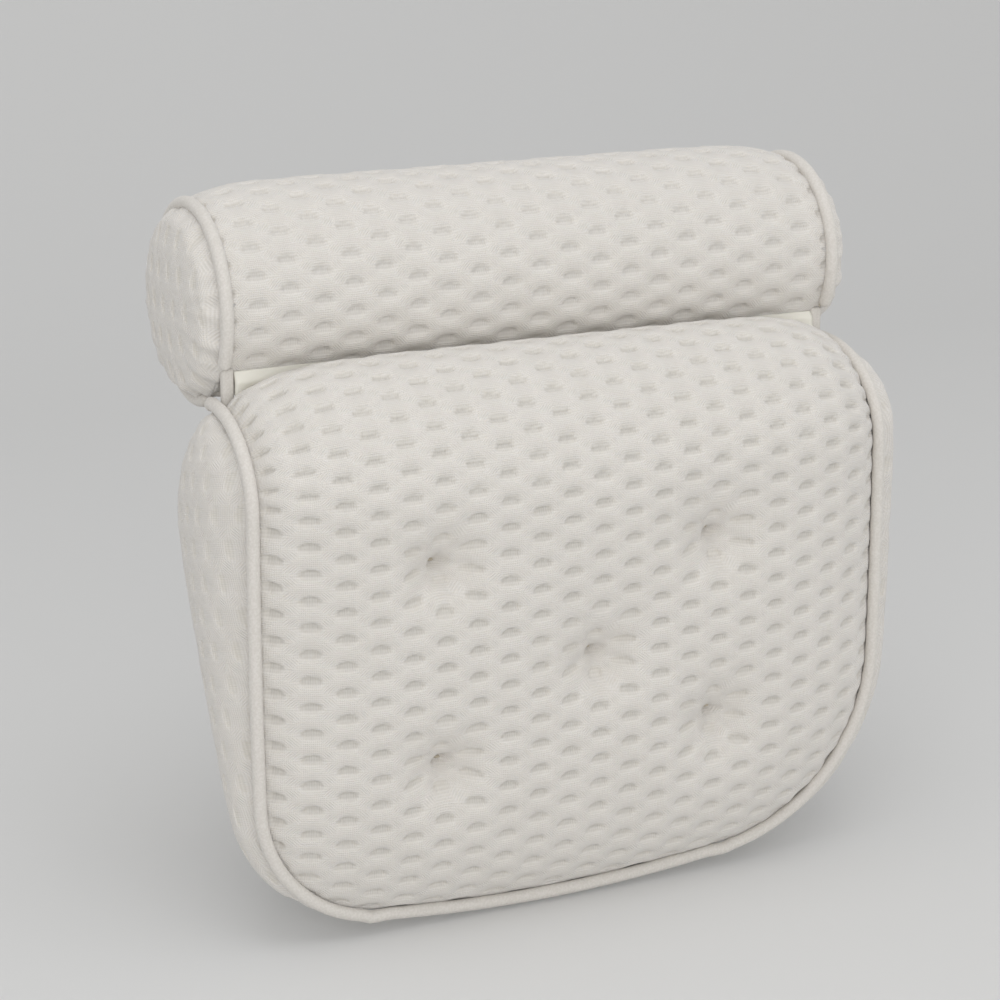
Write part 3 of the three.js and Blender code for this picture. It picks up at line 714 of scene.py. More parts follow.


# The tint argument sets how dark the pits are painted, as painted shade.
def cloth_shell(
    name, grid, cut, outward, times, depth, painted_shade, thickness=CLOTH_THICKNESS, sculpt=None, knit=None
):
    """Air mesh with its pressed outer face, a lining face and cut edges, from a grid."""
    fine = refined(grid, times)
    fine_cut = refined(cut, times)
    drawn = np.zeros(fine.shape[:2]) if sculpt is None else sculpt(fine_cut)
    fine = fine - outward * facing_of(fine) * drawn[..., None]
    block = 2 * times + 1
    nearby = np.lib.stride_tricks.sliding_window_view(np.pad(drawn, times, mode="edge"), (block, block))
    deepest = nearby.max(axis=(2, 3))[::times, ::times]
    lining = grid - outward * facing_of(grid) * (thickness + deepest)[..., None]
    face = np.arange(fine.shape[0] * fine.shape[1]).reshape(fine.shape[:2])
    under = face.size + np.arange(lining.shape[0] * lining.shape[1]).reshape(lining.shape[:2])
    faces = quads_of(face) + quads_of(under)
    for at in (np.s_[0], np.s_[-1], np.s_[:, 0], np.s_[:, -1]):
        edge, hem = face[at], under[at]
        for step in range(len(hem) - 1):
            strip = edge[step * times:(step + 1) * times + 1].tolist()
            faces.append(strip + [int(hem[step + 1]), int(hem[step])])
    mesh = bpy.data.meshes.new(name)
    mesh.from_pydata(np.vstack((fine.reshape(-1, 3), lining.reshape(-1, 3))).tolist(), [], faces)
    faced_out(mesh)
    places = np.vstack((fine_cut.reshape(-1, 2), cut.reshape(-1, 2)))
    if knit is not None:
        places = knit(places)
    corners = np.zeros(len(mesh.loops), int)
    mesh.loops.foreach_get("vertex_index", corners)
    mesh.uv_layers.new(name="cloth").data.foreach_set("uv", places[corners].ravel())
    rows, columns = np.indices(face.shape)
    from_seam = np.minimum.reduce((rows, columns, rows.max() - rows, columns.max() - columns))
    open_face = np.clip(from_seam / SEAM_CELLS, 0, 1) / (1 + (drawn / FLATTENED_BY) ** 2)
    outer = np.concatenate((open_face.ravel(), np.zeros(under.size))).astype(np.float32)
    mesh.attributes.new("face_side", "FLOAT", "POINT").data.foreach_set("value", outer)
    return grown(name, mesh, dimples, {
        "Column pitch": DIMPLE_COLUMN_PITCH, "Row pitch": DIMPLE_ROW_PITCH, "Width": DIMPLE_WIDTH,
        "Height": DIMPLE_HEIGHT, "Depth": depth, "Tint": painted_shade, "Course spread": COURSE_SPREAD,
        "Material": air_mesh,
    })


def dress(piece, node, body):
    """What a finished piece stands for, and what it moves with."""
    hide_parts(node)
    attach(piece, body)


# Pad front: the panel that one leans on. At each tuft a thread pinches it to a point, with short creases
# round it and one fold that runs up to the right.
FRONT_FINENESS = 4
PINCH_DEPTH = 0.0045
PINCH_RADIUS = 0.006
CREASE_DEPTH = 0.0014
CREASE_REACH = 0.012
CREASE_COUNT = 5
FOLD_DEPTH = 0.0058
FOLD_LENGTH = 0.0042
FOLD_HALF = 0.0014
FOLD_TURN = math.radians(14)
FOLD_WANDER = 0.2
FOLD_FADE = 0.6
KNIT_DRAW = 0.7
KNIT_DRAW_REACH = 0.014


def tuft_creases(cut):
    """How far the front is drawn in round its tufts."""
    drawn = np.zeros(cut.shape[:2])
    for order, tuft in enumerate(TUFTS):
        off = cut - tuft
        reach = size_of(off)
        turn = np.arctan2(off[..., 1], off[..., 0])
        drawn += PINCH_DEPTH * np.exp(-reach / PINCH_RADIUS)
        folds = np.clip(np.cos(CREASE_COUNT * turn + order), 0, 1) ** 2
        off_centre = 1 - np.exp(-((reach / PINCH_RADIUS) ** 2))
        drawn += CREASE_DEPTH * folds * np.exp(-reach / CREASE_REACH) * off_centre
        lean = FOLD_TURN + FOLD_WANDER * math.sin(3 * order)
        run = np.array((math.cos(lean), math.sin(lean)))
        along = np.clip(off @ run, -FOLD_LENGTH / 2, FOLD_LENGTH)
        aside = size_of(off - along[..., None] * run)
        fade = 1 - FOLD_FADE * np.abs(along) / FOLD_LENGTH
        drawn += FOLD_DEPTH * np.exp(-((aside / FOLD_HALF) ** 2)) * fade
    return drawn


inner_columns = slice(PAD_COLUMNS // 4, -PAD_COLUMNS // 4)
row_places = front_cut[:, inner_columns, 1].mean(axis=1)
row_steps = size_of(np.diff(front_grid[:, inner_columns], axis=0)).mean(axis=1)
row_reach = np.append(0.0, np.cumsum(row_steps))


def drawn_knit(cut):
    """Where the knit lies on the cut: evenly up the stuffed face, and drawn together by the tufts."""
    knit = cut.copy()
    for tuft in TUFTS:
        off = cut - tuft
        knit += off * KNIT_DRAW * np.exp(-((size_of(off)[..., None] / KNIT_DRAW_REACH) ** 2))
    knit[:, 1] = np.interp(knit[:, 1], row_places, row_reach)
    return knit


front_cloth = cloth_shell(
    "pad_front_cloth", front_grid, front_cut, outward=1, times=FRONT_FINENESS,
    depth=DIMPLE_DEPTH, painted_shade=DIMPLE_PAINTED_SHADE, sculpt=tuft_creases, knit=drawn_knit,
)
dress(front_cloth, "pad_front_panel", "pad")

# Pad back and gussets, of the same air mesh. The gussets are cut with the knit turned, so their dimples
# stand upright. The back lies flat against the tub and is punched for four eyelets.
EYELET_HOLE = 0.0062
GUSSET_DIMPLE_DEPTH = 0.0009
BACK_DIMPLE_DEPTH = 0.0018
# Weaker painted shade for the dimples of the gussets, the caps and the web.
FAINT_PAINTED_SHADE = 0.18

back_cloth = cloth_shell(
    "pad_back_cloth", back_grid, back_cut, outward=-1, times=3, depth=BACK_DIMPLE_DEPTH, painted_shade=DIMPLE_PAINTED_SHADE
)
punched(back_cloth, pad_holes, EYELET_HOLE)
dress(back_cloth, "pad_back_panel", "pad")
for side_name, grid, cut, outward in (
    ("left", left_gusset_grid, left_gusset_cut, -1),
    ("right", right_gusset_grid, right_gusset_cut, 1),
):
    gusset = cloth_shell(
        f"pad_{side_name}_gusset_cloth", grid, cut, outward, times=4,
        depth=GUSSET_DIMPLE_DEPTH, painted_shade=FAINT_PAINTED_SHADE,
    )
    dress(gusset, f"pad_{side_name}_gusset", "pad")

# Pad piping: a cotton cord in a brushed polyester strip, sewn into the side seams and the foot seam. It runs
# from the ridge on one side to the ridge on the other, where its ends turn over behind the web.
PIPING_RADIUS = 0.0032
PIPING_STEP = 0.0011
PIPING_STANDOFF = 0.0032
PIPING_FUZZ = 0.00035
PIPING_FUZZ_SCALE = 260.0
PIPING_TAIL = 0.007
PIPING_POINTS = 160
PIPING_LIGHT = (0.72, 0.69, 0.65, 1)
PIPING_DARK = (0.65, 0.62, 0.575, 1)
PIPING_TURN = np.array(((0, 0.6, 0.05), (0, 1.0, -0.45)))
CORD_SIDES = 16
CORD_END_LEAST = 0.2
NAP_SCALE = 900.0
NAP_DARK_UNDER = 0.35
NAP_LIGHT_OVER = 0.7
HAIR_SCALE = 2200.0
HAIR_RELIEF = 0.0003

cords, port = new_tree("sewn_cord", "Radius", "Step", "Fuzz", "Fuzz scale")
line = add(cords, "GeometryNodeMeshToCurve", Mesh=port["Geometry"])
even = add(cords, "GeometryNodeResampleCurve", mode="LENGTH", Curve=line, Length=port["Step"])
along = add(cords, "GeometryNodeSplineParameter", "Length")
to_end = along.calc("MINIMUM", add(cords, "GeometryNodeSplineLength", "Length") - along)
short_of = (1.0 - to_end / port["Radius"]).calc("MAXIMUM", 0.0)
thick = (1.0 - short_of * short_of).calc("SQRT").calc("MAXIMUM", CORD_END_LEAST)
ring = add(cords, "GeometryNodeCurvePrimitiveCircle", Resolution=CORD_SIDES, Radius=port["Radius"])
swept = add(cords, "GeometryNodeCurveToMesh", Curve=even, Profile_Curve=ring, Scale=thick, Fill_Caps=True)
hairs = add(cords, "ShaderNodeTexNoise", "Fac", Scale=port["Fuzz scale"], Detail=3.0)
end_tree(cords, pushed_out(cords, swept, (hairs - 0.5) * port["Fuzz"]), port["Material"])

piping_cloth, tree, shader = new_material("piping", Roughness=0.95, Specular_IOR_Level=0.2, Sheen_Weight=0.3)
nap = grain(tree, NAP_SCALE, 4.0).ramp(NAP_DARK_UNDER, NAP_LIGHT_OVER)
bump = add(tree, "ShaderNodeBump", Height=grain(tree, HAIR_SCALE, 3.0), Strength=0.4, Distance=HAIR_RELIEF)
feed(tree, shader, {"Base_Color": blended(nap, PIPING_DARK, PIPING_LIGHT), "Normal": bump})


def lines(name, paths):
    """A mesh of plain lines through points."""
    points = np.vstack(paths)
    edges = []
    start = 0
    for path in paths:
        edges += [(start + step, start + step + 1) for step in range(len(path) - 1)]
        start += len(path)
    mesh = bpy.data.meshes.new(name)
    mesh.from_pydata(points.tolist(), edges, [])
    return mesh


def seam_path(side):
    """The front seam of one side from the middle of the foot to the ridge, and which way it stands out."""
    seam = side_seam(front_cut, front_cut, side)
    foot_across = np.linspace(0, seam[0, 0], CURVE_STEPS, endpoint=False)
    cut = resampled(np.vstack((points_at(foot_across, 0.0), seam)), PIPING_POINTS)
    points = on_panel(front_line, 1, cut, np.zeros(len(cut)))
    run_depth, run_height = walk(front_line, cut[:, 1])[2:]
    ahead = points_at(0.0, -run_height, run_depth)
    stand = seam_outward(side, cut[:, 1]) + ahead
    return points, stand / size_of(stand)[:, None], ahead


pad_cords = {}
for side in (-1, 1):
    points, stand, ahead = seam_path(side)
    path = points + stand * PIPING_STANDOFF
    tail = path[-1] + PIPING_TAIL * PIPING_TURN
    pad_cords[side] = np.vstack((path, tail))
pad_path = np.vstack((pad_cords[-1][::-1], pad_cords[1][1:]))
cord_sizes = {
    "Radius": PIPING_RADIUS, "Step": PIPING_STEP, "Fuzz": PIPING_FUZZ, "Fuzz scale": PIPING_FUZZ_SCALE,
    "Material": piping_cloth,
}
pad_piping = grown("pad_piping_cord", lines("pad_piping_line", [pad_path]), cords, cord_sizes)
dress(pad_piping, "pad_piping", "pad")

# Seam stitches: a lockstitch in tan polyester thread in the ditch between the front panel and its piping.
STITCH_PITCH = 0.0034
STITCH_LENGTH = 0.0026
STITCH_THICKNESS = 0.0008
STITCH_LIFT = 0.0012
STITCH_TAN = (0.50, 0.45, 0.36, 1)

stitches, port = new_tree("ditch_stitches", "Pitch", "Length", "Thickness")
line = add(stitches, "GeometryNodeMeshToCurve", Mesh=port["Geometry"])
spots = add(stitches, "GeometryNodeCurveToPoints", mode="LENGTH", Curve=line, Length=port["Pitch"])
grain_of_thread = add(stitches, "GeometryNodeMeshUVSphere", "Mesh", Segments=8, Rings=6, Radius=0.5)
thickness = port["Thickness"]
size = add(stitches, "ShaderNodeCombineXYZ", X=thickness, Y=thickness, Z=port["Length"])
laid = add(
    stitches, "GeometryNodeInstanceOnPoints", Points=spots["Points"], Instance=grain_of_thread,
    Rotation=spots["Rotation"], Scale=size,
)
end_tree(stitches, laid, port["Material"])

thread_stuff = new_material("thread", Base_Color=STITCH_TAN, Roughness=0.7)[0]
seams = []
for side in (-1, 1):
    points, stand, ahead = seam_path(side)
    seams.append(points + ahead * STITCH_LIFT)
stitch_sizes = {
    "Pitch": STITCH_PITCH, "Length": STITCH_LENGTH, "Thickness": STITCH_THICKNESS, "Material": thread_stuff,
}
pad_stitches = grown("pad_seam_stitches", lines("pad_seam_lines", seams), stitches, stitch_sizes)
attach(pad_stitches, "pad")

# Tuft ties: a doubled thread goes through the pad at each tuft, lies as a short bar in the pinch, and is
# tied off in a knot on the back panel.
TIE_RADIUS = 0.0007
TIE_BAR = 0.0026
TIE_SINK = -0.0012
TIE_TURN = 0.003
TIE_FLAT = 0.7
TIE_STEP = 0.0005
TIE_FUZZ = 0.0001
TIE_FUZZ_SCALE = 2500.0
KNOT_RADIUS = 0.0021
KNOT_POINTS = 72

fine_cut = refined(front_cut, FRONT_FINENESS)
pinched = refined(front_grid, FRONT_FINENESS)
pinched = pinched - facing_of(pinched) * tuft_creases(fine_cut)[..., None]
knot_turn = np.linspace(0, 2 * math.pi, KNOT_POINTS)
knot_loop = points_at(
    np.sin(knot_turn) + 2 * np.sin(2 * knot_turn),
    -np.sin(3 * knot_turn),
    np.cos(knot_turn) - 2 * np.cos(2 * knot_turn),
) / 3 * KNOT_RADIUS
pinches = []
for order, tuft in enumerate(TUFTS, 1):
    row, column = np.unravel_index(np.argmin(size_of(fine_cut - tuft)), fine_cut.shape[:2])
    pinch = pinched[row, column] + (0, TIE_SINK, 0)
    pinches.append(Vector(pinch))
    low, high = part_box(f"tuft_tie_{order}")
    off_back = size_of(back_grid[..., ::2] - (pinch[0], (low.z + high.z) / 2))
    knot = back_grid[np.unravel_index(np.argmin(off_back), off_back.shape)] + (0, KNOT_RADIUS / 3, 0)
    strand = np.array((TIE_BAR / 2, 0, 0))
    inside = pinch + (0, TIE_TURN, 0)
    path = np.vstack((
        knot - strand / 2, inside - strand, pinch - strand * TIE_FLAT,
        pinch + strand * TIE_FLAT, inside + strand, knot + strand / 2,
    ))
    tie = grown(f"tuft_thread_{order}", lines("tie_line", [path, knot + knot_loop]), cords, {
        "Radius": TIE_RADIUS, "Step": TIE_STEP, "Fuzz": TIE_FUZZ, "Fuzz scale": TIE_FUZZ_SCALE,
        "Material": thread_stuff,
    })
    dress(tie, f"tuft_tie_{order}", "pad")

# Fillings: loose polyester fibre, blown into each bag through a gap in its seam. It fills the bag to the
# cloth and leaves a hollow round the head of each cup.
FIBRE_GRID = 0.005
FIBRE_SHRINK = 0.0024
FIBRE_LUMPS = 0.0012
FIBRE_LUMP_SCALE = 60
PINCH_ROOM = 0.016
PINCH_CLEARANCE = 0.010
FIBRE_WHITE = (0.86, 0.86, 0.85, 1)

fibre_stuff = new_material("fibre_fill", Base_Color=FIBRE_WHITE, Roughness=1.0)[0]


def fibre(name, node, body, drawn_at):
    """A lumpy mass of fibre in the room a bag leaves for it, pressed back where the cloth is drawn in."""
    mass = placed(name, frame["nodes"][node].data.copy())
    remesh = mass.modifiers.new("mass", "REMESH")
    remesh.mode = "VOXEL"
    remesh.voxel_size = FIBRE_GRID
    settle(mass)
    for vertex, normal in [(vertex, vertex.normal.copy()) for vertex in mass.data.vertices]:
        lump = 0.5 + 0.5 * noise.noise(vertex.co * FIBRE_LUMP_SCALE)
        pressed_in = FIBRE_SHRINK + FIBRE_LUMPS * lump
        for pinch in drawn_at:
            pressed_in += PINCH_CLEARANCE * math.exp(-((vertex.co - pinch).length / PINCH_ROOM) ** 2)
        vertex.co -= normal * pressed_in
    mass.data.shade_smooth()
    mass.data.materials.clear()
    mass.data.materials.append(fibre_stuff)
    dress(mass, node, body)


fibre("pad_fibre", "pad_filling", "pad", pinches)

# Neck roll: a barrel of the same air mesh, sewn along the hinge seam underneath, with a round cap at each
# end that the stuffing pushes out.
ROLL_RADIUS = 0.0473
ROLL_HALF = 0.166
ROLL_CENTRE = np.array((0.0, 0.020255, 0.204505))
ROLL_SEAM = np.array((-0.0177, 0.17628))
ROLL_BARREL = 0.0108
COVER_TAKE_UP = 0.97
BARREL_SQUARENESS = 12
BARREL_RISE = 1.5
ROLL_ROWS = 64
ROLL_COLUMNS = 76
CAP_CELLS = 16
CAP_BULGE = {-1: 0.0152, 1: 0.019}
CAP_ROUNDNESS = 2.6
CAP_FULLNESS = 0.42
ROLL_PRESSURE = 2.5
ROLL_SWELL_LIMIT = 0.004
CAP_GATHER = 0.0009
CAP_GATHER_REACH = 0.010
CAP_GATHER_LEAST = 0.35
CAP_RIPPLES = ((17, 1.0, 1), (23, 0.7, 0), (31, 0.5, 2))
CAP_DIMPLE_DEPTH = 0.001
COVER_DIMPLE_DEPTH = 0.0024
# Painted shade for the dimples of the roll's cover.
COVER_PAINTED_SHADE = 0.1

roll_seam_turn = math.atan2(ROLL_SEAM[1] - ROLL_CENTRE[2], ROLL_SEAM[0] - ROLL_CENTRE[1]) + 2 * math.pi
around = np.linspace(0, 2 * math.pi, ROLL_ROWS + 1)
lengthwise = np.linspace(-ROLL_HALF, ROLL_HALF, ROLL_COLUMNS + 1)
from_seam = ((1 - np.cos(around[:, None])) / 2) ** BARREL_RISE
barrel = ROLL_BARREL * (1 - (lengthwise / ROLL_HALF) ** BARREL_SQUARENESS) * from_seam
cover_turn = roll_seam_turn - around[:, None]
cover_reach = ROLL_RADIUS + barrel
cover_grid = points_at(
    lengthwise,
    ROLL_CENTRE[1] + cover_reach * np.cos(cover_turn),
    ROLL_CENTRE[2] + cover_reach * np.sin(cover_turn),
)
cover_cut = points_at(lengthwise, COVER_TAKE_UP * ROLL_RADIUS * around[:, None])


def cut_cap(side):
    """A cap's grid, round at its rim and domed, and its cut with the knit turned."""
    cell = np.linspace(-1, 1, CAP_CELLS + 1)
    over, up = np.meshgrid(cell, cell)
    wide = np.abs(over) >= np.abs(up)
    reach = np.where(wide, over, up)
    lesser = np.where(wide, up, over)
    swing = math.pi / 4 * np.divide(lesser, reach, out=np.zeros_like(reach), where=reach != 0)
    turn = roll_seam_turn + np.where(wide, swing, math.pi / 2 - swing)
    depth = ROLL_RADIUS * reach * np.cos(turn)
    height = ROLL_RADIUS * reach * np.sin(turn)
    dome = CAP_BULGE[side] * np.clip(1 - np.abs(reach) ** CAP_ROUNDNESS, 0, 1) ** CAP_FULLNESS
    grid = points_at(side * (ROLL_HALF + dome), ROLL_CENTRE[1] + depth, ROLL_CENTRE[2] + height)
    return grid, points_at(height, depth)


left_cap_grid, left_cap_cut = cut_cap(-1)
right_cap_grid, right_cap_cut = cut_cap(1)
roll_holes = eyelet_holes("neck_roll")
roll_grids = [cover_grid, left_cap_grid, right_cap_grid]
roll_held = [
    held_points(cover_grid, [place for place, axis in roll_holes], EYELET_HOLD),
    held_points(left_cap_grid),
    held_points(right_cap_grid),
]
roll_grids = stuffed(roll_grids, roll_held, roll_holes, ROLL_PRESSURE, ROLL_SWELL_LIMIT)
cover_grid, left_cap_grid, right_cap_grid = roll_grids


def cap_gathers(cut):
    """Small gathers round a cap's rim, deepest near the hinge seam."""
    reach = size_of(cut)
    turn = np.arctan2(cut[..., 0], cut[..., 1])
    ripple = sum(size * np.cos(count * turn + start) for count, size, start in CAP_RIPPLES)
    near_seam = CAP_GATHER_LEAST + (1 - CAP_GATHER_LEAST) * (1 + np.cos(turn - roll_seam_turn)) / 2
    return CAP_GATHER * ripple * near_seam * np.exp(-(ROLL_RADIUS - reach) / CAP_GATHER_REACH)


roll_cover = cloth_shell(
    "roll_cover_cloth", cover_grid, cover_cut, outward=1, times=4, depth=COVER_DIMPLE_DEPTH, painted_shade=COVER_PAINTED_SHADE
)
punched(roll_cover, roll_holes, EYELET_HOLE)
dress(roll_cover, "roll_cover", "neck_roll")
for side_name, grid, cut in (
    ("left", left_cap_grid, left_cap_cut),
    ("right", right_cap_grid, right_cap_cut),
):
    middle = CAP_CELLS // 2
    outward = np.sign(facing_of(grid)[middle, middle, 0] * grid[middle, middle, 0])
    cap = cloth_shell(
        f"roll_{side_name}_cap_cloth", grid, cut, outward, times=6,
        depth=CAP_DIMPLE_DEPTH, painted_shade=FAINT_PAINTED_SHADE, sculpt=cap_gathers,
    )
    dress(cap, f"roll_{side_name}_cap", "neck_roll")
fibre("roll_fibre", "roll_filling", "neck_roll", [])

# Roll piping: a cord of the same kind in the seam round each cap, with its ends apart at the hinge seam, and
# stitches in the ditch beside it.
ROLL_PIPING_RADIUS = 0.0487
ROLL_PIPING_PLACE = 0.1664
ROLL_PIPING_SINK = 0.003
ROLL_PIPING_FRONT_GAP = math.radians(6)
ROLL_PIPING_BACK_GAP = math.radians(30)
DITCH_INSET = 0.0015
DITCH_LIFT = 0.0004

ring_end = 2 * math.pi - ROLL_PIPING_BACK_GAP
ring_turn = roll_seam_turn - np.linspace(ROLL_PIPING_FRONT_GAP, ring_end, PIPING_POINTS)
ring_across = points_at(0.0, np.cos(ring_turn), np.sin(ring_turn))
ditches = []
for side_name, side in (("left", -1), ("right", 1)):
    reach = ROLL_PIPING_RADIUS - ROLL_PIPING_SINK * ((1 + ring_across[:, 1:2]) / 2) ** 2
    path = ROLL_CENTRE + (side * ROLL_PIPING_PLACE, 0, 0) + ring_across * reach
    cord = grown(f"roll_{side_name}_piping_cord", lines("roll_piping_line", [path]), cords, cord_sizes)
    dress(cord, f"roll_{side_name}_piping", "neck_roll")
    beside = side * (ROLL_HALF - DITCH_INSET)
    ditches.append(ROLL_CENTRE + (beside, 0, 0) + ring_across * (ROLL_RADIUS + DITCH_LIFT))
roll_stitches = grown("roll_seam_stitches", lines("roll_seam_lines", ditches), stitches, stitch_sizes)
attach(roll_stitches, "neck_roll")

# Hinge web: one strip of air mesh, sewn into the ridge below and the roll's seam above. It keeps two creases
# along its length.
WEB_HALF_WIDTH = 0.1602
WEB_LOW = 0.1560
WEB_HIGH = 0.1772
WEB_THICKNESS = 0.0016
WEB_DEPTH = -0.0177
WEB_COLUMNS = 80
WEB_ROWS = 12
WEB_CREASE = 0.0013
WEB_LOWER_CREASE = 0.42
WEB_UPPER_CREASE = 0.68
WEB_CREASE_WIDTH = 0.08
WEB_DIMPLE_DEPTH = 0.0004
WEB_WAVES = ((31, 0.05, 0), (83, 0.03, 1))
WEB_BULGE = 0.0045
WEB_BULGE_SQUARENESS = 8
WEB_SHOW_THROUGH = 0.1
# Painted light: the web is coloured brighter and warmer than the air mesh, in place of light bounced into
# the gap under the roll, and its see-through colour is warm as well.
WEB_IVORY_PAINTED_LIGHT = (0.92, 0.90, 0.82, 1)
WEB_GLOW = (0.95, 0.92, 0.82, 1)

web_over = np.linspace(-WEB_HALF_WIDTH, WEB_HALF_WIDTH, WEB_COLUMNS + 1)[None, :]
web_up = np.linspace(0, 1, WEB_ROWS + 1)[:, None]
web_wander = sum(size * np.sin(web_over * count + start) for count, size, start in WEB_WAVES)
web_bulge = WEB_BULGE * (web_over / WEB_HALF_WIDTH) ** WEB_BULGE_SQUARENESS * 4 * web_up * (1 - web_up)
lower_crease = (web_up - WEB_LOWER_CREASE - web_wander) / WEB_CREASE_WIDTH
upper_crease = (web_up - WEB_UPPER_CREASE + web_wander) / WEB_CREASE_WIDTH
web_bend = WEB_CREASE * (np.exp(-(lower_crease ** 2)) + np.exp(-(upper_crease ** 2)))
web_cut = points_at(web_over, (WEB_HIGH - WEB_LOW) * web_up)
web_face = WEB_DEPTH - WEB_THICKNESS / 2 - web_bulge + web_bend
web_grid = points_at(web_over, web_face, WEB_LOW + web_cut[..., 1])
# The web's colours hold painted light, as set above.
web_mesh, tree, shader = new_material("web_mesh", Base_Color=WEB_IVORY_PAINTED_LIGHT, Roughness=0.9)
through = add(tree, "ShaderNodeBsdfTranslucent", Color=WEB_GLOW)
thin = add(tree, "ShaderNodeMixShader", Fac=WEB_SHOW_THROUGH)
join(tree, Wire(tree, shader), thin.node.inputs[1])
join(tree, through, thin.node.inputs[2])
join(tree, thin, tree.nodes["Material Output"].inputs["Surface"])
web = cloth_shell(
    "hinge_web_cloth", web_grid, web_cut, outward=1, times=3,
    depth=WEB_DIMPLE_DEPTH, painted_shade=FAINT_PAINTED_SHADE, thickness=WEB_THICKNESS,
)
web.data.materials[0] = web_mesh
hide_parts("hinge_web")
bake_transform(web)

# Hinge bindings: a brushed tape, folded over each end of the web and sewn through.
BINDING_SOFTNESS = 0.0014
BINDING_OUTWARD = 0.0025
BINDING_CUTS = 12
UPRIGHT_OVER = 0.01


def smooth_piece(name, mesh, material):
    """A smoothly shaded piece of one material."""
    mesh.shade_smooth()
    mesh.materials.append(material)
    return placed(name, mesh)


for side_name, side in (("left", -1), ("right", 1)):
    low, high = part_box(f"hinge_binding_{side_name}")
    low.x += side * BINDING_OUTWARD
    high.x += side * BINDING_OUTWARD
    work = bmesh.new()
    bmesh.ops.create_cube(work, size=1.0)
    bmesh.ops.scale(work, vec=high - low, verts=work.verts)
    bmesh.ops.translate(work, vec=(low + high) / 2, verts=work.verts)
    bmesh.ops.bevel(work, geom=work.edges, offset=BINDING_SOFTNESS, segments=4, profile=0.5, affect="EDGES")
    upright = [edge for edge in work.edges if abs(edge.verts[0].co.z - edge.verts[1].co.z) > UPRIGHT_OVER]
    bmesh.ops.subdivide_edges(work, edges=upright, cuts=BINDING_CUTS, use_grid_fill=True)
    name = f"hinge_{side_name}_binding_tape"
    tape = smooth_piece(name, mesh_of(name, work), piping_cloth)
    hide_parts(f"hinge_binding_{side_name}")
    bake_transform(tape)

# Eyelets: a two-part ring of white nylon, snapped together through the cloth behind. Each one holds the
# stem of a cup, which turns in it.
LATHE_SIDES = 64
EYELET_PROFILE = (
    (0.0045, 0.0018), (0.0045, -0.0073), (0.009, -0.0073), (0.009, -0.0058),
    (0.0061, -0.0058), (0.0061, 0.0003), (0.009, 0.0003), (0.009, 0.0018),
)
EYELET_EDGE = 0.0005
CORNER_POINTS = 6
CORNER_MOST = 0.45
EYELET_WHITE = (0.82, 0.82, 0.80, 1)

eyelet_nylon = new_material("eyelet", Base_Color=EYELET_WHITE, Roughness=0.35)[0]


def softened(profile, radius, closed):
    """A profile with its corners rounded."""
    points = np.array(profile)
    order = range(len(points)) if closed else range(1, len(points) - 1)
    line = [] if closed else [points[0]]
    for index in order:
        corner = points[index]
        before = points[index - 1] - corner
        after = points[(index + 1) % len(points)] - corner
        start = corner + before * min(CORNER_MOST, radius / np.linalg.norm(before))
        end = corner + after * min(CORNER_MOST, radius / np.linalg.norm(after))
        for t in np.linspace(0, 1, CORNER_POINTS):
            line.append((1 - t) ** 2 * start + 2 * t * (1 - t) * corner + t ** 2 * end)
    return np.array(line if closed else line + [points[-1]])


def turned(name, profile, closed, joint, material):
    """A turned piece about a cup's axis, with its profile as radius and height over the cloth."""
    work = bmesh.new()
    vertices = [work.verts.new((radius, 0, height)) for radius, height in profile]
    edges = [work.edges.new(pair) for pair in zip(vertices, vertices[1:])]
    if closed:
        edges.append(work.edges.new((vertices[-1], vertices[0])))
    bmesh.ops.spin(
        work, geom=vertices + edges, axis=(0, 0, 1), cent=(0, 0, 0), angle=2 * math.pi, steps=LATHE_SIDES
    )
    bmesh.ops.remove_doubles(work, verts=work.verts, dist=1e-6)
    bmesh.ops.recalc_face_normals(work, faces=work.faces)
    mesh = mesh_of(name, work)
    mesh.transform(standing(joint["pos_m"], joint["axis"]))
    return smooth_piece(name, mesh, material)


spins = [joint for joint in frame["joints"] if joint.get("continuous")]
cup_joints = {joint["child"].removeprefix("cup_"): joint for joint in spins}
eyelet_profile = softened(EYELET_PROFILE, EYELET_EDGE, True)
for place, joint in cup_joints.items():
    eyelet = turned(f"eyelet_{place}_ring", eyelet_profile, True, joint, eyelet_nylon)
    dress(eyelet, f"eyelet_{place}", joint["parent"])

# Suction cups: clear soft vinyl, moulded in one with a stem and a round head. The head is pushed through the
# eyelet from behind and holds the cup there.
CUP_PROFILE = (
    (0, -0.0106), (0.0075, -0.0106), (0.0075, -0.0076), (0.004, -0.0076), (0.004, 0.0021), (0.006, 0.0021),
    (0.015, 0.0072), (0.024, 0.0138), (0.024, 0.015), (0.020, 0.015), (0.012, 0.0105), (0, 0.009),
)
CUP_EDGE = 0.0011
VINYL_TINT = (0.93, 0.95, 0.95, 1)

clear_vinyl = new_material(
    "clear_vinyl", Base_Color=VINYL_TINT, Roughness=0.12, Transmission_Weight=0.9, IOR=1.5
)[0]
cup_profile = softened(CUP_PROFILE, CUP_EDGE, False)
for place, joint in cup_joints.items():
    cup = turned(f"suction_cup_{place}_vinyl", cup_profile, False, joint, clear_vinyl)
    dress(cup, f"suction_cup_{place}", joint["child"])

# Stage: a pale grey paper sweep under an even white sky, with one soft lamp high on the left, one low in
# front and one overhead.
SWEEP_COLOUR = (0.70, 0.70, 0.695, 1)
SWEEP_FRONT = -2.5
SWEEP_BACK = 2.2
SWEEP_WIDTH = 5.0
SWEEP_RISE = 2.6
SWEEP_BEND = 1.2
SWEEP_STEPS = 24
FLOOR_GAP = 0.0005
SKY_STRENGTH = 0.66
CAMERA_TARGET = Vector((-0.0435, -0.0677, 0.1119))
CAMERA_DISTANCE = 1.354
CAMERA_YAW = math.radians(25.75)
CAMERA_DROP = math.radians(15.83)
CAMERA_LENS = 100.8

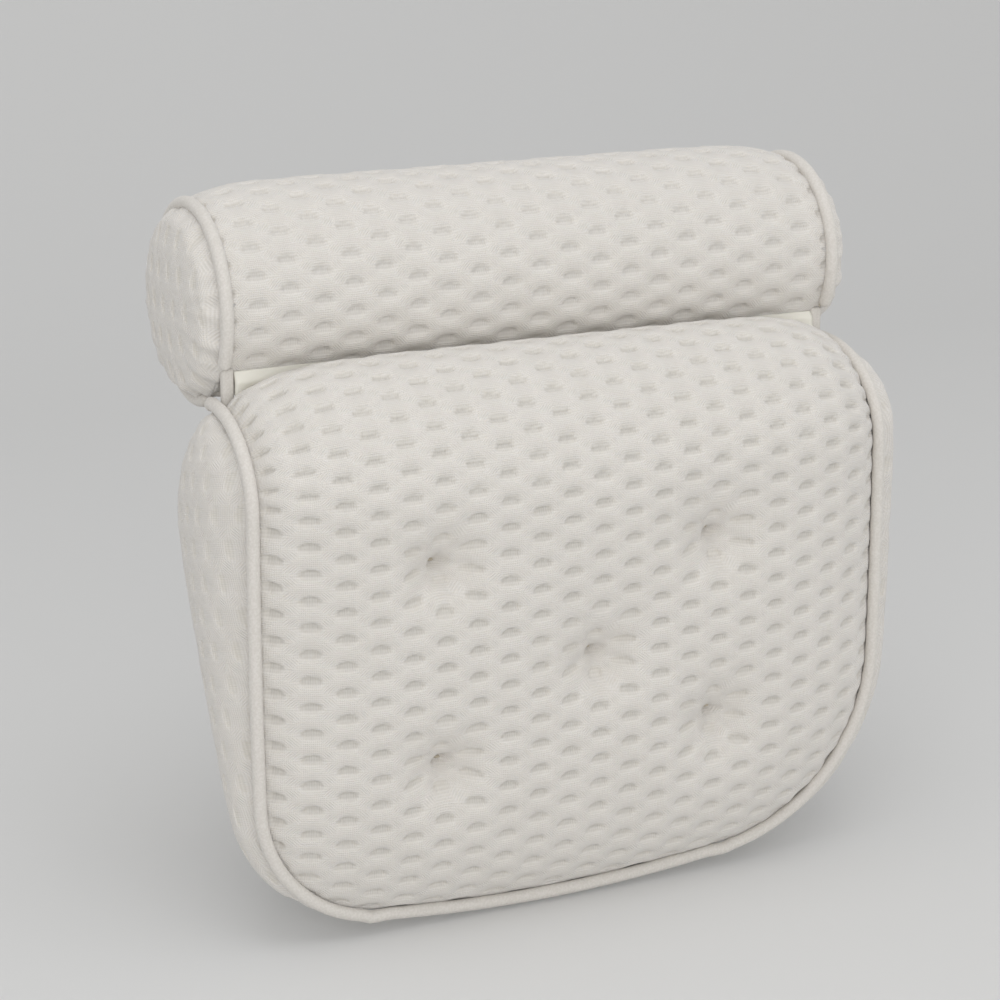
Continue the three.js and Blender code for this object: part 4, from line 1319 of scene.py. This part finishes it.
floor_height = cad_low.z - FLOOR_GAP
sweep_turn = np.linspace(0, math.pi / 2, SWEEP_STEPS)
sweep_line = [(SWEEP_FRONT, 0.0)]
sweep_line += [
    (SWEEP_BACK - SWEEP_BEND * (1 - math.sin(t)), SWEEP_BEND * (1 - math.cos(t))) for t in sweep_turn
]
sweep_line.append((SWEEP_BACK, SWEEP_RISE))
sweep_points = [(x, y, z + floor_height) for y, z in sweep_line for x in (-SWEEP_WIDTH / 2, SWEEP_WIDTH / 2)]
sweep_faces = [(2 * k, 2 * k + 1, 2 * k + 3, 2 * k + 2) for k in range(len(sweep_line) - 1)]
sweep_mesh = bpy.data.meshes.new("sweep")
sweep_mesh.from_pydata(sweep_points, [], sweep_faces)
sweep_paper = new_material("sweep_paper", Base_Color=SWEEP_COLOUR, Roughness=0.9)[0]
sweep = smooth_piece("sweep", sweep_mesh, sweep_paper)
sweep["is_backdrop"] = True

world = bpy.data.worlds.new("studio")
world.use_nodes = True
sky = world.node_tree.nodes["Background"]
feed(world.node_tree, sky, {"Color": (1, 1, 1, 1), "Strength": SKY_STRENGTH})
bpy.context.scene.world = world
for name, place, aim, size, power in (
    ("key_light", (-1.0, -1.6, 0.9), (0, 0, 0.1), 1.0, 6.4),
    ("front_light", (0.0, -1.7, 0.2), (0, 0, 0.15), 1.0, 4.6),
    ("top_light", (-0.2, -0.5, 2.2), (0, 0, 0.1), 1.6, 10.0),
):
    lamp = bpy.data.lights.new(name, "AREA")
    lamp.size = size
    lamp.energy = power
    light = placed(name, lamp)
    light.location = place
    light.rotation_euler = (Vector(aim) - Vector(place)).to_track_quat("-Z", "Y").to_euler()

view_line = Vector((
    math.sin(CAMERA_YAW) * math.cos(CAMERA_DROP),
    math.cos(CAMERA_YAW) * math.cos(CAMERA_DROP),
    -math.sin(CAMERA_DROP),
))
camera_data = bpy.data.cameras.new("camera")
camera_data.lens = CAMERA_LENS
camera = placed("camera", camera_data)
camera.location = CAMERA_TARGET - view_line * CAMERA_DISTANCE
camera.rotation_euler = view_line.to_track_quat("-Z", "Y").to_euler()
bpy.context.scene.camera = camera
bpy.context.scene.view_settings.view_transform = "Standard"

low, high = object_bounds()
